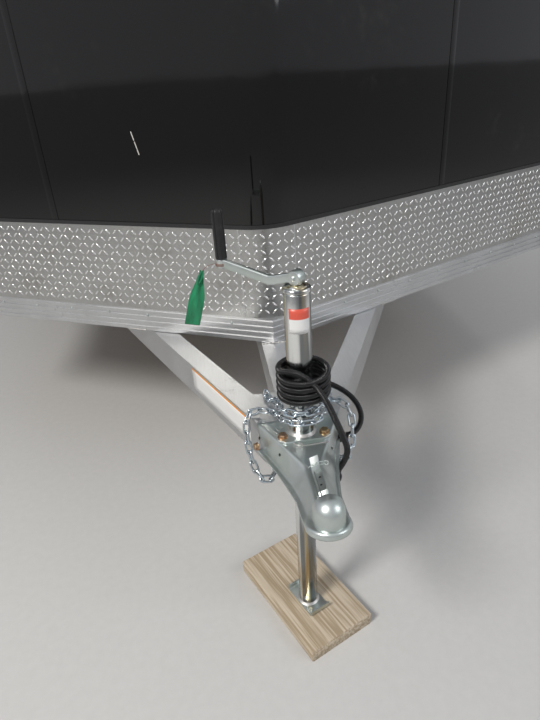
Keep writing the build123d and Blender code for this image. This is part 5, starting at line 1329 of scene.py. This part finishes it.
def make_wheels():
    """On each side a tyre, five nuts as turned profiles of six sides on their circle, and a turned cap."""
    nut = [(0, 0.0125), (0.003, 0.0125), (0.0032, 0.0108), (0.013, 0.0108), (0.018, 0.0065)]
    cap = [(0.034, 0.040), (0.037, 0.0405), (0.040, 0.030), (0.047, 0.0285), (0.052, 0.024), (0.054, 0.012)]
    turns = radians(90) + 2 * pi * np.arange(5) / 5
    for side, word in ((1, "left"), (-1, "right")):
        make_tyre(f"tyre_tread_{word}", side)
        axis, centre = (side, 0, 0), np.array([side * (TYRE_X + 0.024), AXLE_Y, TYRE_RADIUS])
        nuts = [turned(capped(nut), centre + NUT_CIRCLE * np.array([0, cos(turn), sin(turn)]), axis, 6)
                for turn in turns]
        make_piece(f"wheel_nuts_{word}", joined(nuts), f"wheel_{word}", "zinc_steel", sharp=30)
        make_piece(f"wheel_cap_{word}", turned(capped(cap), centre, axis, 48), f"wheel_{word}", "wheel_paint",
                   sharp=40)


# Sides and rear
def make_side_details():
    """Joint strips on the skins, screws of the roof trim and side rails, and the frames of the side door.

    Strips and frames are slabs on the skin's face, and screws stand a pitch apart along each side.
    """
    strips = []
    for side in (-1, 1):
        x0, x1 = sorted((side * (HALF - SKIN_INSET), side * (HALF - SKIN_INSET + 0.0016)))
        strips += [slab((x0, y - 0.016, FLOOR_Z + 0.001), (x1, y + 0.016, SKIN_TOP))
                   for y in (SHOULDER_Y + 0.02, 0.10, 1.32, SILL_FRONT - 0.02)]
    make_piece("side_panel_joints", joined(strips), "trailer", "black_panel", sharp=40)
    screws = np.arange(SHOULDER_Y + 0.06, REAR_Y - 0.15, looks().screw_pitch)
    rows = (HALF, TRIM_SCREW_Z), (HALF - 0.004, FRAME_Z + 0.058)
    places = [(side * x, y, z) for x, z in rows for side in (-1, 1) for y in screws]
    axes = [(np.sign(x), 0, 0) for x, _, _ in places]
    make_piece("side_screws", screw_domes(places, axes, 0.005), "trailer", "zinc_steel", sharp=50)
    nose_screws("nose_trim_screws", 0.12, 1.40, 0.0, TRIM_SCREW_Z, 0.005)
    low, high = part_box("side_door")
    y0, y1, z0, z1, face = low.y, high.y, low.z, high.z, low.x
    outer = y0 - 0.036, y1 + 0.034, z0 - 0.034, z1 + 0.034
    inner = y0 - 0.010, y1 + 0.008, z0 - 0.008, z1 + 0.008
    bars = border(outer, inner, face - 0.002, face)
    make_piece("doorway_frame", bars, "trailer", "mill_aluminium", sharp=40)
    edge = 0.022
    bars = border((y0, y1, z0, z1), (y0 + edge, y1 - edge, z0 + edge, z1 - edge), face - 0.0015, face)
    make_piece("side_door_edge", bars, "curb_door", "mill_aluminium", sharp=40)


def make_rear_details():
    """The ramp's edge trim as four slabs, and pairs of bolts at three heights on each of its lock bars."""
    low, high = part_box("ramp_door")
    x0, x1, z0, z1, back, edge = low.x, high.x, low.z, high.z, high.y, 0.030
    bars = border((x0, x1, z0, z1), (x0 + edge, x1 - edge, z0 + edge, z1 - edge), back, back + 0.0016,
                  facing_y=True)
    make_piece("ramp_edge", bars, "ramp", "mill_aluminium", sharp=40)
    lock_x, foot_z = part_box("ramp_locks")[1].x - 0.022, FLOOR_Z + 0.137
    bolts = [hexagon_bolt((side * (lock_x + offset), back + 0.0185, z), (0, 1, 0), 0.009, 0.0035)
             for side in (-1, 1) for offset in (-0.0155, 0.0155) for z in (foot_z, foot_z + 0.64, z1 - 0.125)]
    make_piece("ramp_lock_bolts", joined(bolts), "ramp", "zinc_steel", sharp=30)


def make_finishes():
    """Every node of the frame gets its slot's finish."""
    for node, made in frame["nodes"].items():
        made.data.materials.clear()
        made.data.materials.append(finish_of(NODE_SLOTS[node]))


# Stage
def make_stage():
    """A flat pale floor of four points, a plain sky that is brighter to the camera, and round area lamps."""
    floor = bpy.data.meshes.new("floor")
    corners = [(x * FLOOR_REACH, y * FLOOR_REACH, 0) for x, y in ((-1, -1), (1, -1), (1, 1), (-1, 1))]
    floor.from_pydata(corners, [], [(0, 1, 2, 3)])
    ground = bpy.data.objects.new("floor", floor)
    bpy.context.scene.collection.objects.link(ground)
    made = Finish("Pale floor", Roughness=0.9, Specular_IOR_Level=0.2)
    grit, bright = made.w.noise(made.place, 40.0, 3.0), looks().floor_colour
    made.feed("Base Color", made.w.colour(grit, tuple(0.91 * c for c in bright), bright))
    floor.materials.append(made.material)
    world = bpy.data.worlds.new("Studio")
    bpy.context.scene.world = world
    world.use_nodes = True
    w = Wiring(world.node_tree)
    rays = w.add("ShaderNodeLightPath").outputs
    mirrored = w.math("MAXIMUM", rays["Is Glossy Ray"], rays["Is Transmission Ray"])
    seen = w.math("MAXIMUM", rays["Is Camera Ray"], mirrored)
    back = world.node_tree.nodes["Background"]
    back.inputs["Color"].default_value = (0.93, 0.95, 1.0, 1.0)
    strength = w.math("ADD", SKY_LIGHT, w.math("MULTIPLY", seen, SKY_SEEN))
    world.node_tree.links.new(strength, back.inputs["Strength"])
    for name, place, target, size, power, colour in LAMPS:
        lamp = bpy.data.lights.new(name, "AREA")
        lamp.shape, lamp.size, lamp.energy, lamp.color = "DISK", size, power, colour
        holder = bpy.data.objects.new(name, lamp)
        bpy.context.scene.collection.objects.link(holder)
        aim = Vector(target) - Vector(place)
        holder.location = place
        holder.rotation_euler = aim.to_track_quat("-Z", "Y").to_euler()


FLOOR_REACH = 80.0
SKY_LIGHT, SKY_SEEN = 0.36, 0.20

# Each lamp: its name, its place, what it points at, its diameter, its power in watts and its colour
LAMPS = [
    ("key", (-3.2, -4.6, 4.6), (0.0, -1.9, 0.7), 1.6, 225.0, (1.0, 0.97, 0.92)),
    ("fill", (4.2, -4.4, 3.4), (0.0, -1.5, 0.8), 3.2, 70.0, (0.95, 0.97, 1.0)),
    ("rim", (0.5, 3.5, 6.5), (0.0, 0.0, 1.5), 4.0, 120.0, (1.0, 0.98, 0.95)),
]


# The camera: its place, and how far it is turned, pitched down and rolled, in degrees
CAMERA_PLACE = -0.1672, -3.2799, 1.3822
CAMERA_TURNS = 5.65, 28.31, -3.88


def make_camera():
    """The photograph's view: ahead is (sin yaw cos pitch, cos yaw cos pitch, -sin pitch), and it is rolled."""
    yaw, pitch, roll = [radians(angle) for angle in CAMERA_TURNS]
    ahead = np.array([sin(yaw) * cos(pitch), cos(yaw) * cos(pitch), -sin(pitch)])
    level = np.array([cos(yaw), -sin(yaw), 0.0])
    right = level * cos(roll) + np.cross(level, ahead) * sin(roll)
    camera = bpy.data.cameras.new("view")
    camera.sensor_width, camera.sensor_fit, camera.lens = 36.0, "AUTO", looks().camera_lens
    camera.clip_end = 200.0
    holder = bpy.data.objects.new("view", camera)
    bpy.context.scene.collection.objects.link(holder)
    columns = np.column_stack([right, np.cross(right, ahead), -ahead, CAMERA_PLACE])
    holder.matrix_world = Matrix([*columns.tolist(), [0, 0, 0, 1]])
    bpy.context.scene.camera = holder
    bpy.context.scene.view_settings.view_transform = "Standard"


# Add-on
class TrailerLooks(bpy.types.PropertyGroup):
    """Sizes and colours of the trailer's looks that a user may change before the pieces are built."""

    panel_colour: bpy.props.FloatVectorProperty(
        name="Panel colour", description="Colour of the gloss skins", subtype="COLOR", size=3,
        min=0.0, max=1.0, default=(0.0050, 0.0048, 0.0050))
    tape_colour: bpy.props.FloatVectorProperty(
        name="Tape colour", description="Colour of the tape tied to the crank", subtype="COLOR", size=3,
        min=0.0, max=1.0, default=(0.010, 0.28, 0.12))
    floor_colour: bpy.props.FloatVectorProperty(
        name="Floor colour", description="Colour of the floor that the trailer stands on", subtype="COLOR",
        size=3, min=0.0, max=1.0, default=(0.66, 0.655, 0.645))
    tread_cell: bpy.props.FloatProperty(
        name="Tread cell", description="Side of the square that holds one lug of the tread plate",
        unit="LENGTH", default=0.0235, min=0.01, max=0.05)
    screw_pitch: bpy.props.FloatProperty(
        name="Screw pitch", description="Distance between the screws of the rails and trims", unit="LENGTH",
        default=0.1524, min=0.05, max=0.6)
    chain_wire: bpy.props.FloatProperty(
        name="Chain wire", description="Radius of the wire of the chains' links", unit="LENGTH",
        default=0.0029, min=0.001, max=0.003)
    loom_ring: bpy.props.FloatProperty(
        name="Loom ring", description="Distance between the rings of the corrugated loom", unit="LENGTH",
        default=0.0040, min=0.002, max=0.01)
    camera_lens: bpy.props.FloatProperty(
        name="Lens", description="Focal length of the camera", subtype="DISTANCE_CAMERA", default=27.37,
        min=10.0, max=200.0)


class TRAILER_OT_stage(bpy.types.Operator):
    """Add the floor, the lamps, the world and the camera"""
    bl_idname = "trailer.stage"
    bl_label = "Stage and camera"

    def execute(self, context):
        make_camera()
        make_stage()
        return {"FINISHED"}


class TRAILER_OT_finishes(bpy.types.Operator):
    """Give every node of the frame its finish"""
    bl_idname = "trailer.finishes"
    bl_label = "Frame finishes"

    def execute(self, context):
        make_finishes()
        return {"FINISHED"}


class TRAILER_OT_loom(bpy.types.Operator):
    """Add the corrugated loom with its coil, relief and plug"""
    bl_idname = "trailer.loom"
    bl_label = "Wiring loom"

    def execute(self, context):
        make_loom()
        return {"FINISHED"}


class TRAILER_OT_stone_guard(bpy.types.Operator):
    """Add the tread plate sheet round the nose, its trim and seams"""
    bl_idname = "trailer.stone_guard"
    bl_label = "Stone guard"

    def execute(self, context):
        make_stone_guard()
        return {"FINISHED"}


class TRAILER_OT_nose_details(bpy.types.Operator):
    """Add the corner cover, panel joints and rail screws of the nose"""
    bl_idname = "trailer.nose_details"
    bl_label = "Nose details"

    def execute(self, context):
        make_nose_details()
        return {"FINISHED"}


class TRAILER_OT_coupler(bpy.types.Operator):
    """Add the pressed coupler with its bolts and weld lines"""
    bl_idname = "trailer.coupler"
    bl_label = "Coupler"

    def execute(self, context):
        make_coupler()
        make_coupler_fittings()
        return {"FINISHED"}


class TRAILER_OT_latch(bpy.types.Operator):
    """Add the coupler's latch lever, pin and clip"""
    bl_idname = "trailer.latch"
    bl_label = "Coupler latch"

    def execute(self, context):
        make_latch()
        return {"FINISHED"}


class TRAILER_OT_jack(bpy.types.Operator):
    """Add the jack's outer tube, flange, leg, foot and label"""
    bl_idname = "trailer.jack"
    bl_label = "Tongue jack"

    def execute(self, context):
        make_jack_tube()
        make_jack_leg()
        make_jack_label()
        return {"FINISHED"}


class TRAILER_OT_crank(bpy.types.Operator):
    """Add the crank bar and its hand grip"""
    bl_idname = "trailer.crank"
    bl_label = "Crank"

    def execute(self, context):
        make_crank()
        return {"FINISHED"}


class TRAILER_OT_ribbon(bpy.types.Operator):
    """Add the tape and the thread that ties it to the crank"""
    bl_idname = "trailer.ribbon"
    bl_label = "Crank tape"

    def execute(self, context):
        make_ribbon()
        return {"FINISHED"}


class TRAILER_OT_chains(bpy.types.Operator):
    """Add both safety chains, link by link"""
    bl_idname = "trailer.chains"
    bl_label = "Safety chains"

    def execute(self, context):
        make_chains()
        return {"FINISHED"}


class TRAILER_OT_board(bpy.types.Operator):
    """Add the sawn board under the jack's foot"""
    bl_idname = "trailer.board"
    bl_label = "Support board"

    def execute(self, context):
        make_board()
        return {"FINISHED"}


class TRAILER_OT_tongue_details(bpy.types.Operator):
    """Add the blank label and the weld beads of the tongue"""
    bl_idname = "trailer.tongue_details"
    bl_label = "Tongue details"

    def execute(self, context):
        make_tongue_details()
        return {"FINISHED"}


class TRAILER_OT_wheels(bpy.types.Operator):
    """Add the tyres with their tread, the wheel nuts and the caps"""
    bl_idname = "trailer.wheels"
    bl_label = "Wheels"

    def execute(self, context):
        make_wheels()
        return {"FINISHED"}


class TRAILER_OT_side_details(bpy.types.Operator):
    """Add the side joints, screws and door frames"""
    bl_idname = "trailer.side_details"
    bl_label = "Side details"

    def execute(self, context):
        make_side_details()
        return {"FINISHED"}


class TRAILER_OT_rear_details(bpy.types.Operator):
    """Add the ramp's edge trim and the bolts of its locks"""
    bl_idname = "trailer.rear_details"
    bl_label = "Rear details"

    def execute(self, context):
        make_rear_details()
        return {"FINISHED"}


OPERATORS = (
    TRAILER_OT_stage, TRAILER_OT_finishes, TRAILER_OT_loom, TRAILER_OT_stone_guard, TRAILER_OT_nose_details,
    TRAILER_OT_coupler, TRAILER_OT_latch, TRAILER_OT_jack, TRAILER_OT_crank, TRAILER_OT_ribbon,
    TRAILER_OT_chains, TRAILER_OT_board, TRAILER_OT_tongue_details, TRAILER_OT_wheels,
    TRAILER_OT_side_details, TRAILER_OT_rear_details,
)


class TRAILER_PT_pieces(bpy.types.Panel):
    """Sizes, colours and one button for each group of pieces"""
    bl_label = "Snowmobile trailer"
    bl_idname = "TRAILER_PT_pieces"
    bl_space_type = "VIEW_3D"
    bl_region_type = "UI"
    bl_category = "Trailer"

    def draw(self, context):
        """One row for each size and colour, then the buttons."""
        looks = context.scene.trailer_looks
        for name in TrailerLooks.__annotations__:
            self.layout.prop(looks, name)
        for operator in OPERATORS:
            self.layout.operator(operator.bl_idname)


CLASSES = (TrailerLooks, *OPERATORS, TRAILER_PT_pieces)


def register():
    """Adds the panel, the operators and the settings to Blender."""
    for shown in CLASSES:
        bpy.utils.register_class(shown)
    bpy.types.Scene.trailer_looks = bpy.props.PointerProperty(type=TrailerLooks)


def unregister():
    """Takes away what register added, in reverse."""
    del bpy.types.Scene.trailer_looks
    for shown in reversed(CLASSES):
        bpy.utils.unregister_class(shown)


def main():
    """Builds everything in order."""
    register()
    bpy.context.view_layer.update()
    for effect in EFFECTS:
        make_effect(*effect)
    for operator in OPERATORS:
        getattr(bpy.ops.trailer, operator.bl_idname.split(".")[1])()


if __name__ == "__main__":
    main()
